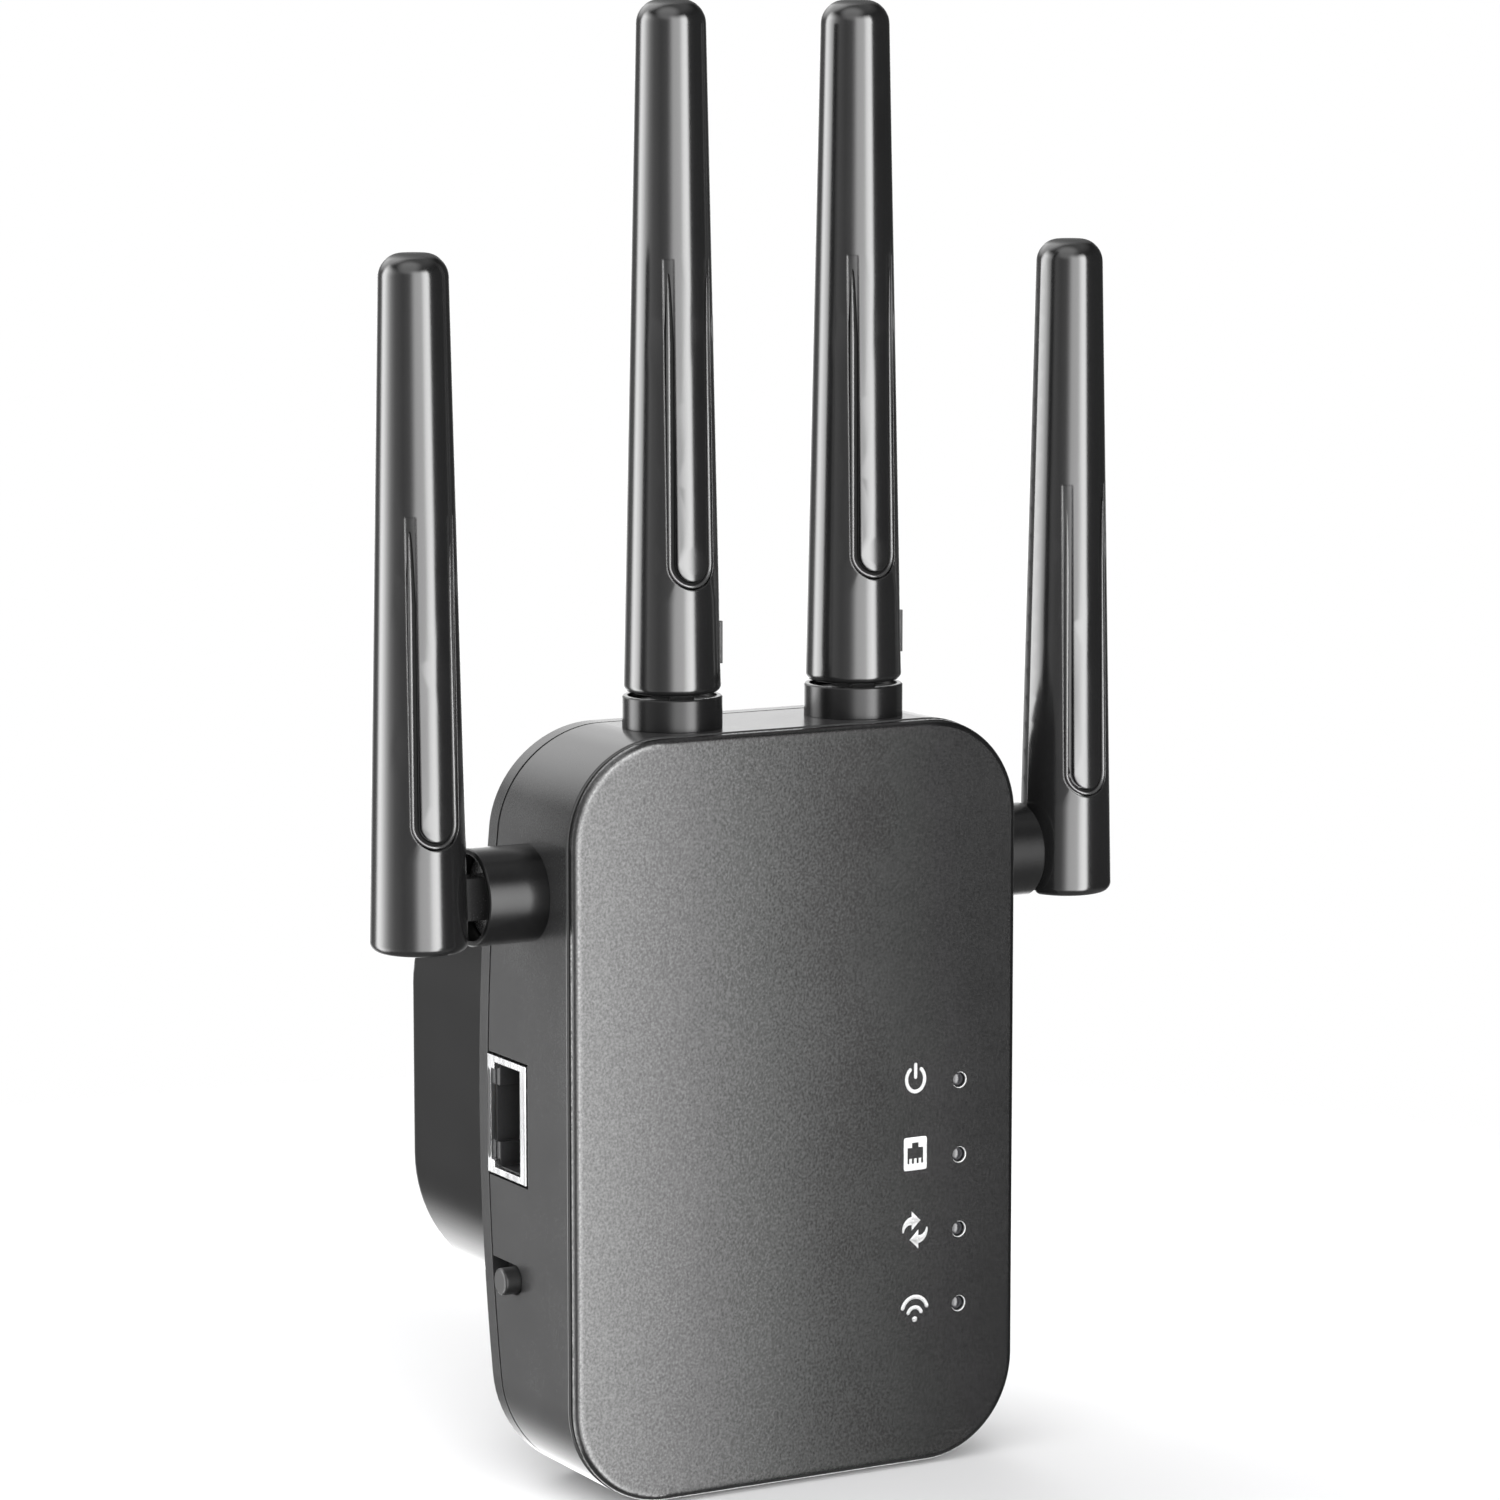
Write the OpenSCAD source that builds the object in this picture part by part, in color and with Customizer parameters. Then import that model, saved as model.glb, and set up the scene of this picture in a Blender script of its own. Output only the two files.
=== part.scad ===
// Plug-in wifi range extender with four folding, swivelling antennas.
// Lengths are in millimetres. The construction frame has x to the viewer's right, y from the
// front face back to the wall and z up from the bottom of the body; every piece is then set on the
// plug, so the finished part's origin is midway between the two pins on the face that meets the wall.

/* [Body] */
// Width of the body across its side walls
body_w = 57; // [50:0.5:75]
// Height of the body
body_h = 86; // [80:0.5:110]
// Depth from the front face to the back edge at mid-height
body_d = 23.3; // [22.5:0.1:32]
// Radius of the four corners seen from the front
corner_r = 11.5; // [8:0.5:16]
// Thickness of the shell's walls
wall = 2; // [1.4:0.1:2.6]
// Radius of the bowed back about a level axis
bow_r = 170; // [140:5:400]
// Depth of the strip of rear cover seen behind the seam
cover_edge = 2; // [1.5:0.1:2.6]
// Width of the seam between shell and rear cover
seam_gap = 0.35; // [0.2:0.05:0.6]

/* [Front panel] */
// Thickness of the front panel
panel_t = 1.6; // [1.2:0.1:2.2]
// Thickness of the front panel's rim, which hides the front of the shell
panel_rim = 0.8; // [0.75:0.05:1]
// Radius that rounds the front panel's edge
panel_round = 0.7; // [0.4:0.05:0.7]
// Width of the shadow groove between panel and shell
panel_groove = 0.55; // [0.4:0.05:0.7]
// How far the panel's edge is set in from the shell's sides
panel_inset = 0.1; // [0.05:0.05:0.4]

/* [Plug block] */
// How far the sides of the raised block that carries the plug are set in from the body's sides
block_in = 0.5; // [0:0.25:5]
// Height of the raised block
block_h = 54; // [46:0.5:58]
// Radius of the block's corners
block_r = 17; // [10:0.5:22]
// Depth of the block behind the body's back edge
block_d = 20; // [18:0.5:28]
// Radius that rounds the block's back edge
block_round = 2; // [1:0.25:3]
// Diameter of a plug pin
pin_d = 4; // [3.6:0.1:4.8]
// Length of a plug pin
pin_len = 19; // [15:0.5:22]
// Distance between the plug pins
pin_pitch = 19; // [16:0.1:22]
// Length of the insulating sleeve on each pin
sleeve_len = 10; // [7:0.5:12]

/* [Antennas] */
// Length of an antenna from its base to its tip
antenna_len = 76.2; // [65:0.1:110]
// Diameter of an antenna at its base
antenna_base_d = 10.94; // [10:0.02:12.6]
// Diameter of an antenna at its tip
antenna_tip_d = 7.62; // [6.8:0.02:9]
// Height of the fold pivot above an antenna's base
pivot_up = 5.4; // [5:0.1:7]
// Distance of the side antennas' fold pivot below the middle of their stubs
side_pivot_drop = 2.1; // [1.8:0.1:2.4]
// Gap between a top antenna's base and its collar
top_gap = 0.4; // [0.35:0.05:1]
// Gap between a side antenna and the end of its stub, at the antenna's base diameter
side_gap = 0.65; // [0.6:0.05:1]
// Diameter of the collars on top of the body
collar_d = 11.2; // [10.4:0.1:13]
// Diameter of the stubs on the sides of the body
stub_d = 10.9; // [10.4:0.1:13]
// Height of the collars on top of the body
top_collar_len = 3.6; // [3:0.1:8]
// Length of the stubs on the sides of the body
side_stub_len = 7.3; // [4:0.1:12]
// Distance of each top collar from the middle
top_x = 11.65; // [9:0.05:15]
// Depth of the top collars behind the front face
top_y = 8.3; // [7.6:0.1:11]
// Depth of the side stubs behind the front face
side_y = 10.8; // [9.5:0.1:12]
// Distance of the side stubs below the top of the body
side_drop = 17.7; // [16:0.1:22]
// Width of the moulded groove round the finger panel
groove_w = 1; // [0.6:0.1:1.2]
// Depth of that groove at its round end
groove_d = 0.5; // [0.3:0.05:0.7]
// Half the width of the finger panel across its groove
groove_half = 2.85; // [2.4:0.05:3.2]
// Height of the groove's round end above an antenna's base
groove_low = 11.7; // [11:0.1:16]
// Height above the base at which the groove runs out
groove_high = 48; // [36:0.5:56]

/* [Ports and lights] */
// Height of the network socket's middle
jack_z = 41.7; // [38:0.1:46]
// Height of the network socket's shield
jack_h = 13.5; // [13.2:0.1:14.5]
// Depth of the shield from board to back
jack_d = 9.5; // [9:0.1:9.6]
// Length of the shield into the body
jack_len = 15.5; // [13:0.5:18]
// Thickness of the shield's folded mouth
jack_wall = 0.7; // [0.5:0.05:0.9]
// Diameter of the reset button
button_d = 3.1; // [2.4:0.1:4]
// How far the reset button stands out of the wall
button_out = 1.9; // [1:0.1:2.5]
// Travel of the reset button
button_travel = 0.7; // [0.4:0.05:0.9]
// Height of the reset button
button_z = 23.6; // [19:0.1:27]
// Diameter of the indicator windows
window_d = 1.9; // [1.4:0.1:2.6]
// Distance of the indicator windows from the body's right side
window_in = 7.45; // [6:0.05:10]
// Height of the lowest indicator window
window_z = 18.1; // [16:0.1:20]
// Distance between the indicator windows
window_pitch = 8.7; // [6:0.1:9.5]

/* [Fits] */
// Radial clearance of a turning or sliding fit
run_fit = 0.05; // [0.02:0.01:0.09]
// Clearance round pieces that are seated and don't move
seat_fit = 0.1; // [0.05:0.01:0.2]
// Clearance round the pieces that fold
fold_fit = 0.2; // [0.15:0.01:0.3]

/* [Hidden] */
$fn = 96;

mid_z = body_h / 2;
side_z = body_h - side_drop;
half_w = body_w / 2;
windows = 4;
window_x = half_w - window_in;

shell_front = panel_rim + panel_groove;
inner_r = corner_r - wall;
inner_w = body_w - 2 * wall;
inner_h = body_h - 2 * wall;
skirt_t = 1.2;
skirt_end = panel_t + 2.4;
panel_step = wall + 2 * seat_fit;
ledge_t = 0.6;
ledge_w = skirt_t + seat_fit;
shell_edge_round = 0.25;

cover_t = cover_edge;
seam_r = bow_r - cover_edge - seam_gap;
bow_y = body_d - bow_r;
lip_t = 1.2;
lip_len = 2.4;

block_w = body_w - 2 * block_in;
block_back = body_d + block_d;
block_inner = block_back - wall;
block_start = body_d - 6;

// Case screws and the posts that take them
screw_r = 1.25;
screw_head_r = 2.4;
screw_head_t = 1.4;
screw_len = 9;
post_r = 3.1;
post_in = 4.4;
post_x = half_w - wall - post_in;
post_z = wall + post_in;
post_front = panel_t + 4.7;
screw_seat_t = 1.2;

// Main board, set so that the network socket behind it stands clear of the rear cover
board_t = 1.6;
jack_back_gap = 0.3;
board_back = body_d - cover_t - jack_back_gap - jack_d - seat_fit;
board_y = board_back - board_t;
board_gap = 1;
board_w = inner_w - 2 * board_gap;
board_low = post_z + post_r + 1.5;
board_high = side_z - stub_d / 2 - 3.2;
stand_r = 2.2;
stand_in = 9.5;
stand_x = board_w / 2 - stand_in;
stand_edge = 3;
stand_low = board_low + stand_edge;
stand_high = board_high - stand_edge;
small_screw_r = 0.9;
small_head_r = 1.7;
small_head_t = 1.1;
small_screw_len = 6;

// Network socket
jack_y = board_back + seat_fit;
jack_face = -half_w - 0.1;
jack_gap = 0.35;
jack_sheet = 0.3;
jack_bar = 2 * jack_wall;
plug_h = jack_h - 2 * jack_wall;
plug_d = 6.5;
plug_len = jack_len - 3;
latch_h = plug_h - 1.6;
contacts = 8;
contact_pitch = 1.02;

// Reset button and its switch
button_y = board_back + 3.2;
button_r = button_d / 2;
button_hole_r = button_r + fold_fit;
button_flange_r = button_r + 0.8;
button_flange_t = 0.8;
switch_face = -half_w + wall + button_flange_t + button_travel + 1.4;
switch_d = 6.2;
switch_len = 3.4;

// Power board inside the plug block
power_y = body_d + 1.3;
power_back = power_y + board_t;
power_side_gap = 4;
power_end_gap = 5;
power_w = block_w - 2 * wall - 2 * power_side_gap;
power_h = block_h - 2 * wall - 2 * power_end_gap;
power_post_in = 3;
power_post_x = power_w / 2 - power_post_in;
power_post_z = power_h / 2 - power_post_in;
power_post_r = 2.3;
pin_core_r = pin_d / 2 - 0.5;
sleeve_r = pin_d / 2 - 0.2;
pin_flange_r = pin_d / 2 + 1.5;
pin_flange_t = 1.5;
pin_tail_r = 1;

// Antenna hinge
mouth_t = 0.6;
mouth_share = 0.42;
collar_chamfer = 0.15;
disc_t = 0.8;
shaft_r = 2.5;
spigot_r = 3.6;
spigot_in = 2.2;
nut_r = 4.3;
nut_t = 1.2;
snap_r = 3.2;
snap_t = 1;
tongue_t = 3;
tongue_w = 4.7;
eye_r = tongue_w / 2;
hinge_r = 1;
head_w = 4;
head_h = 4.75;
head_in = 4;
head_out = 5.3;
slot_half = tongue_t / 2 + fold_fit;
slot_r = eye_r + fold_fit + 0.1;
swing_clear = 0.25;
swing_r = pivot_up + top_gap - swing_clear;
top_base_round = 0.8;
side_base_round = 1.1;
tip_round = 2.7;
base_r = antenna_base_d / 2;
tip_r = antenna_tip_d / 2;
bore_r = 2;
bore_cap = 9;
radiator_share = 0.55;

// Each antenna's name, foot, turn, collar length, fold at rest, panel direction, pin head side,
// drop of its fold pivot, gap to its collar, rounding of its base and diameter of its collar
TOP_LEFT = [
    "top_left", [-top_x, top_y, body_h], [0, 0, 90], top_collar_len, 0, 180, -1,
    0, top_gap, top_base_round, collar_d
];
TOP_RIGHT = [
    "top_right", [top_x, top_y, body_h], [0, 0, 90], top_collar_len, 0, 180, -1,
    0, top_gap, top_base_round, collar_d
];
LEFT = [
    "left", [-half_w, side_y, side_z], [0, -90, 0], side_stub_len, 90, -90, 1,
    side_pivot_drop, side_gap, side_base_round, stub_d
];
RIGHT = [
    "right", [half_w, side_y, side_z], [0, -90, 180], side_stub_len, 90, 90, -1,
    side_pivot_drop, side_gap, side_base_round, stub_d
];
ANTENNAS = [TOP_LEFT, TOP_RIGHT, LEFT, RIGHT];

HOUSING_NODES = [
    "front_panel", "body_shell", "rear_cover", "case_screws", "plug_pins", "pin_sleeves",
    "main_board", "board_screws", "rf_shield", "processor", "network_transformer", "indicator_leds",
    "light_pipes", "jack_shield", "jack_insert", "jack_contacts", "reset_button", "reset_switch",
    "power_board", "power_screws", "transformer", "capacitors", "rectifier", "board_link"
];
ANTENNA_PARTS = ["collar", "knuckle", "hinge_pin", "sheath", "radiator"];

// Helpers

// Sets a piece built in the construction frame on the plug
module on_plug() {
    translate([0, -block_back, -mid_z])
        children();
}

// Rounded rectangle about the origin
module outline(w, h, r) {
    square([w - 2 * r, h], center = true);
    square([w, h - 2 * r], center = true);
    for (x = [-1, 1], z = [-1, 1])
        translate([x * (w / 2 - r), z * (h / 2 - r)])
            circle(r);
}

// Prism of a front-view outline between two depths
module slab(y0, y1) {
    translate([0, y1, 0])
        rotate([90, 0, 0])
            linear_extrude(y1 - y0)
                children();
}

// Cylinder along y between two depths
module rod(r, y0, y1) {
    translate([0, y1, 0])
        rotate([90, 0, 0])
            cylinder(r = r, h = y1 - y0);
}

// Carries a profile round a rounded rectangle; the profile's x runs out from the corner centres
// to r at the outer face, and its y is the depth
module round_frame(w, h, r) {
    for (k = [0 : 3]) {
        length = k % 2 == 0 ? h - 2 * r : w - 2 * r;
        reach = k % 2 == 0 ? w / 2 - r : h / 2 - r;
        rotate([0, -90 * k, 0])
            translate([reach, 0, -length / 2]) {
                linear_extrude(length)
                    children();
                rotate([-90, 0, 0])
                    rotate_extrude(angle = 90)
                        children();
            }
    }
}

// Profile of a plate's rim with its front edge rounded, from the corner centre out to r
module rounded_rim(r, y0, y1, round_r) {
    translate([0, y0 + round_r])
        square([r, y1 - y0 - round_r]);
    translate([0, y0])
        square([r - round_r, round_r]);
    intersection() {
        translate([r - round_r, y0 + round_r])
            circle(round_r);
        translate([r - round_r, y0])
            square(round_r);
    }
}

// Solid between the front and the bowed surface of the given radius
module bowed(r) {
    translate([0, bow_y, mid_z])
        rotate([0, 90, 0])
            cylinder(r = r, h = 2 * body_w, center = true, $fn = 720);
}

// Places children at the four case screws
module at_case_screws() {
    for (x = [-1, 1], z = [post_z, body_h - post_z])
        translate([x * post_x, 0, z])
            children();
}

// Places children at the four posts of the main board
module at_stands() {
    for (x = [-1, 1], z = [stand_low, stand_high])
        translate([x * stand_x, 0, z])
            children();
}

// Places children at the four posts of the power board
module at_power_posts() {
    for (x = [-1, 1], z = [-1, 1])
        translate([x * power_post_x, 0, mid_z + z * power_post_z])
            children();
}

// Places children at the two plug pins
module at_pins() {
    for (x = [-1, 1])
        translate([x * pin_pitch / 2, 0, mid_z])
            children();
}

// Places children at the indicator windows
module at_windows() {
    for (i = [0 : windows - 1])
        translate([window_x, 0, window_z + i * window_pitch])
            children();
}

// Foot of an antenna: z runs out of the body, x is the way it folds
module at_foot(a) {
    translate(a[1])
        rotate(a[2])
            children();
}

// Fold pivot of an antenna: z runs along the sheath, y along the hinge pin
module at_pivot(a) {
    at_foot(a)
        translate([-a[7], 0, pivot_out(a)])
            rotate([0, a[4], 0])
                children();
}

// Pan head screw along y, with the underside of its head at depth zero
module pan_screw(r, length, head_r, head_t) {
    rotate([90, 0, 0])
        cylinder(r = r, h = length);
    rotate([-90, 0, 0])
        difference() {
            rotate_extrude()
                intersection() {
                    square([head_r, head_t]);
                    translate([0, head_t - 2 * head_r])
                        circle(2 * head_r);
                }
            for (turn = [0, 90])
                rotate([0, 0, turn])
                    translate([-head_r * 0.6, -head_r * 0.14, head_t * 0.45])
                        cube([head_r * 1.2, head_r * 0.28, head_t]);
        }
}

// Room that the inner ends of the antenna collars need inside the shell
module collar_rooms() {
    for (a = ANTENNAS)
        at_foot(a)
            translate([0, 0, -wall - spigot_in - nut_t])
                cylinder(r = nut_r + seat_fit, h = spigot_in + nut_t + wall);
}

// Cut in the left wall for the network socket, open to the seam
module jack_cut() {
    translate([-half_w - 1, jack_y - jack_gap, jack_z - jack_h / 2 - jack_gap])
        cube([wall + lip_t + 2, body_d, jack_h + 2 * jack_gap]);
}

// Notch in the left wall for the reset button, open to the seam
module button_cut() {
    translate([-half_w - 1, button_y, button_z]) {
        rotate([0, 90, 0])
            cylinder(r = button_hole_r, h = wall + 1 + seat_fit);
        translate([0, 0, -button_hole_r])
            cube([wall + 1 + seat_fit, body_d, 2 * button_hole_r]);
    }
}

// Housing

// Textured front plate with a rounded edge, a skirt into the shell and the board's posts
module front_panel() {
    w = body_w - 2 * panel_inset;
    h = body_h - 2 * panel_inset;
    r = corner_r - panel_inset;
    color([0.27, 0.27, 0.28])
        on_plug()
            difference() {
                union() {
                    translate([0, 0, mid_z]) {
                        round_frame(w, h, r) {
                            rounded_rim(r, 0, panel_rim, panel_round);
                            square([corner_r - panel_step, panel_t]);
                        }
                        slab(0, panel_t)
                            square([w - 2 * r, h - 2 * r], center = true);
                        slab(panel_t, skirt_end)
                            difference() {
                                outline(inner_w - 2 * seat_fit, inner_h - 2 * seat_fit, inner_r - seat_fit);
                                ledge_opening();
                            }
                    }
                    at_stands()
                        rod(stand_r, panel_t, board_y);
                }
                at_windows()
                    rod(window_d / 2, -1, panel_t + 1);
                at_stands()
                    rod(small_screw_r, board_y - small_screw_len, board_y + 1);
                difference() {
                    collar_rooms();
                    rod(2 * body_h, -1, panel_t);
                }
            }
}

// Side walls in one ring with a bowed back edge, a ledge for the panel and posts for the case screws
module body_shell() {
    color([0.25, 0.25, 0.26])
        on_plug()
            difference() {
                intersection() {
                    union() {
                        translate([0, 0, mid_z])
                            round_frame(body_w, body_h, corner_r) {
                                difference() {
                                    rounded_rim(corner_r, shell_front, body_d, shell_edge_round);
                                    square([inner_r, 2 * body_d]);
                                }
                            }
                        difference() {
                            slab_at_mid(skirt_end, skirt_end + ledge_t)
                                difference() {
                                    outline(inner_w + wall, inner_h + wall, inner_r + wall / 2);
                                    ledge_opening();
                                }
                            collar_rooms();
                        }
                        at_case_screws()
                            rod(post_r, post_front, body_d);
                    }
                    bowed(seam_r);
                }
                at_case_screws()
                    rod(screw_r, 0, body_d + 1);
                for (a = ANTENNAS)
                    at_foot(a)
                        translate([0, 0, -wall - 1])
                            cylinder(r = spigot_r, h = wall + 2);
                jack_cut();
                button_cut();
            }
}

// Outline that the panel's skirt and the shell's ledge leave open
module ledge_opening() {
    outline(inner_w - 2 * ledge_w, inner_h - 2 * ledge_w, inner_r - ledge_w);
}

// Prism of a front-view outline about the body's middle
module slab_at_mid(y0, y1) {
    translate([0, 0, mid_z])
        slab(y0, y1)
            children();
}

// Bowed back with its lip, the hollow plug block, screw seats and vents
module rear_cover() {
    color([0.22, 0.22, 0.23])
        on_plug()
            difference() {
                union() {
                    difference() {
                        union() {
                            intersection() {
                                slab_at_mid(0, body_d)
                                    outline(body_w, body_h, corner_r);
                                bowed(bow_r);
                            }
                            plug_block();
                        }
                        bowed(bow_r - cover_t);
                        slab_at_mid(0, body_d)
                            outline(block_w - 2 * wall, block_h - 2 * wall, block_r - wall);
                    }
                    cover_lip();
                    at_power_posts()
                        rod(power_post_r, power_back, block_inner + wall / 2);
                }
                at_power_posts()
                    rod(small_screw_r, power_back - 1, power_back + small_screw_len);
                at_pins()
                    rod(sleeve_r + run_fit, block_inner - 1, block_back + 1);
                at_case_screws() {
                    rod(screw_r + seat_fit, 0, body_d + 1);
                    screw_seat_cut();
                }
                vents();
            }
}

// Hollow block with a rounded back edge, open towards the body
module plug_block() {
    translate([0, block_back, mid_z])
        mirror([0, 1, 0])
            difference() {
                union() {
                    round_frame(block_w, block_h, block_r)
                        rounded_rim(block_r, 0, block_back - block_start, block_round);
                    slab(0, block_back - block_start)
                        square([block_w - 2 * block_r, block_h - 2 * block_r], center = true);
                }
                slab(wall, block_back)
                    outline(block_w - 2 * wall, block_h - 2 * wall, block_r - wall);
            }
}

// Lip that locates the rear cover inside the shell
module cover_lip() {
    difference() {
        intersection() {
            slab_at_mid(board_back, body_d)
                difference() {
                    outline(inner_w - 2 * seat_fit, inner_h - 2 * seat_fit, inner_r - seat_fit);
                    outline(
                        inner_w - 2 * (lip_t + seat_fit),
                        inner_h - 2 * (lip_t + seat_fit),
                        inner_r - lip_t - seat_fit
                    );
                }
            bowed(bow_r - cover_t / 2);
        }
        bowed(seam_r - lip_len);
        at_case_screws()
            rod(post_r + seat_fit, 0, body_d);
        jack_cut();
        button_cut();
    }
}

// Sunk seat for a screw's head in the bowed back
module screw_seat_cut() {
    rod(screw_head_r + 2 * seat_fit, screw_seat_y(), body_d + 1);
}

// Depth of the face that a case screw's head presses on
function screw_seat_y() = bow_y + sqrt(pow(bow_r, 2) - pow(mid_z - post_z, 2)) - cover_t + screw_seat_t;

// Slots above and below the plug block
module vents() {
    slot_w = 1.6;
    slot_h = 5;
    pitch = 4.2;
    for (i = [-3 : 3], z = [-1, 1])
        translate([i * pitch, 0, mid_z + z * (block_h / 2 + (mid_z - block_h / 2) / 2)]) {
            slab(body_d - 9, body_d + 1)
                square([slot_w, slot_h - slot_w], center = true);
            for (end = [-1, 1])
                translate([0, 0, end * (slot_h - slot_w) / 2])
                    rod(slot_w / 2, body_d - 9, body_d + 1);
        }
}

// Screws that hold the rear cover to the shell's posts
module case_screws() {
    color([0.5, 0.5, 0.52])
        on_plug()
            at_case_screws()
                translate([0, screw_seat_y(), 0])
                    pan_screw(screw_r - seat_fit, screw_len, screw_head_r, screw_head_t);
}

// Plug

// Round contact pins with rounded tips, an inner flange and solder tails
module plug_pins() {
    color([0.78, 0.76, 0.72])
        on_plug()
            at_pins()
                translate([0, block_back, 0])
                    rotate([-90, 0, 0])
                        rotate_extrude()
                            pin_profile();
}

// Half section of a plug pin, with its length along y from the wall face
module pin_profile() {
    r = pin_d / 2;
    translate([0, sleeve_len])
        square([r, pin_len - sleeve_len - r]);
    intersection() {
        translate([0, pin_len - r])
            circle(r);
        translate([0, pin_len - r])
            square(r);
    }
    translate([0, -wall - pin_flange_t])
        square([pin_core_r, wall + pin_flange_t + sleeve_len]);
    translate([0, -wall - pin_flange_t])
        square([pin_flange_r, pin_flange_t]);
    tail = block_back - power_y + 1;
    translate([0, -tail])
        square([pin_tail_r, tail - wall - pin_flange_t]);
}

// Insulating sleeves on the roots of the pins
module pin_sleeves() {
    color([0.12, 0.12, 0.12])
        on_plug()
            at_pins()
                difference() {
                    rod(sleeve_r, block_inner, block_back + sleeve_len);
                    rod(pin_core_r, block_inner - 1, block_back + sleeve_len + 1);
                }
}

// Main board

// Circuit board on the front panel's posts
module main_board() {
    color([0.05, 0.3, 0.16])
        on_plug()
            difference() {
                translate([-board_w / 2, board_y, board_low])
                    cube([board_w, board_t, board_high - board_low]);
                at_stands()
                    rod(small_screw_r + seat_fit, board_y - 1, board_back + 1);
            }
}

// Screws that hold the main board
module board_screws() {
    color([0.6, 0.6, 0.62])
        on_plug()
            at_stands()
                translate([0, board_back, 0])
                    pan_screw(small_screw_r - seat_fit, small_screw_len, small_head_r, small_head_t);
}

// Folded metal can over the radio circuits
module rf_shield() {
    can_w = 24;
    can_h = 12;
    can_d = 2.4;
    can_t = 0.4;
    can_x = -5;
    can_up = 6;
    color([0.75, 0.75, 0.77])
        on_plug()
            translate([can_x, board_back, board_low + can_up])
                difference() {
                    cube([can_w, can_d, can_h]);
                    translate([can_t, -1, can_t])
                        cube([can_w - 2 * can_t, can_d - can_t + 1, can_h - 2 * can_t]);
                }
}

// Processor package under the radio can's upper edge
module processor() {
    chip = 9;
    chip_t = 1;
    chip_x = 6;
    chip_up = 20;
    color([0.1, 0.1, 0.1])
        on_plug()
            translate([chip_x, board_back, board_low + chip_up])
                cube([chip, chip_t, chip]);
}

// Isolating transformer beside the network socket
module network_transformer() {
    block = [10, 4.5, 12];
    block_gap = 2;
    color([0.12, 0.12, 0.12])
        on_plug()
            translate([jack_face + jack_len + block_gap, board_back, jack_z - block[2] / 2])
                cube(block);
}

// Indicator lamps on the front of the board
module indicator_leds() {
    lamp = 1.6;
    lamp_t = 0.7;
    color([0.95, 0.95, 0.85])
        on_plug()
            at_windows()
                translate([-lamp / 2, board_y - lamp_t, -lamp / 2])
                    cube([lamp, lamp_t, lamp]);
}

// Clear rods from the lamps to the windows, on one bar
module light_pipes() {
    lamp_t = 0.7;
    lamp_gap = 0.2;
    pipe_in = 0.65;
    rod_r = window_d / 2 - run_fit;
    foot_r = rod_r + 0.5;
    foot_t = 1.4;
    bar_t = 1.2;
    span = (windows - 1) * window_pitch;
    color([0.85, 0.9, 0.95])
        on_plug() {
            at_windows() {
                rod(rod_r, pipe_in, board_y - lamp_t - lamp_gap);
                rod(foot_r, panel_t, panel_t + foot_t);
            }
            translate([window_x - foot_r, panel_t, window_z])
                cube([2 * foot_r, bar_t, span]);
        }
}

// Network socket

// Folded metal shield, flush with the left wall, with stiffening corners beside the latch
module jack_shield() {
    color([0.85, 0.85, 0.86])
        on_plug()
            translate([jack_face, jack_y, jack_z - jack_h / 2])
                difference() {
                    cube([jack_len, jack_d, jack_h]);
                    translate([jack_wall, jack_sheet, jack_sheet])
                        cube([jack_len, jack_d - 2 * jack_sheet, jack_h - 2 * jack_sheet]);
                    translate([-1, jack_bar, jack_wall])
                        cube([jack_wall + 2, plug_d, plug_h]);
                    translate([-1, jack_bar, (jack_h - latch_h) / 2])
                        cube([jack_wall + 2, jack_d - jack_bar - jack_wall, latch_h]);
                }
}

// Moulded insert with the plug's cavity and the latch's channel
module jack_insert() {
    fit = seat_fit / 2;
    d = jack_d - 2 * jack_sheet - 2 * fit;
    h = jack_h - 2 * jack_sheet - 2 * fit;
    front = jack_bar - jack_sheet - fit;
    cavity_h = plug_h - 0.1;
    channel_h = latch_h * 0.62;
    color([0.08, 0.08, 0.08])
        on_plug()
            translate([jack_face + jack_wall + fit, jack_y + jack_sheet + fit, jack_z - h / 2])
                difference() {
                    cube([jack_len - jack_wall - fit, d, h]);
                    translate([-1, front, (h - cavity_h) / 2])
                        cube([plug_len + 1, plug_d, cavity_h]);
                    translate([-1, front + 1, (h - channel_h) / 2])
                        cube([plug_len + 1, d - front - 1.35, channel_h]);
                }
}

// Eight spring contacts that slope back into the cavity
module jack_contacts() {
    contact_w = 0.4;
    contact_len = 6;
    root = [jack_face + plug_len - 1, jack_y + jack_bar, jack_z];
    color([0.85, 0.68, 0.3])
        on_plug()
            for (i = [0 : contacts - 1])
                translate(root + [0, 0, (i - (contacts - 1) / 2) * contact_pitch - contact_w / 2])
                    intersection() {
                        rotate([0, 0, 160])
                            translate([0, -contact_w, 0])
                                cube([contact_len, contact_w, contact_w]);
                        translate([-2 * contact_len, 0, 0])
                            cube([2 * contact_len, contact_len, contact_w]);
                    }
}

// Reset button

// Round cap with a flange behind the wall and a push rod to the switch
module reset_button() {
    color([0.16, 0.16, 0.17])
        on_plug()
            translate([-half_w, button_y, button_z])
                rotate([0, 90, 0])
                    rotate_extrude()
                        button_profile();
}

// Half section of the reset button, with its travel along y
module button_profile() {
    edge = 0.3;
    translate([0, -button_out + edge])
        square([button_r, button_out - edge + wall + 2 * seat_fit]);
    translate([0, -button_out])
        square([button_r - edge, edge]);
    intersection() {
        translate([button_r - edge, -button_out + edge])
            circle(edge);
        translate([button_r - edge, -button_out])
            square(edge);
    }
    translate([0, wall + seat_fit])
        square([button_flange_r, button_flange_t]);
}

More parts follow.
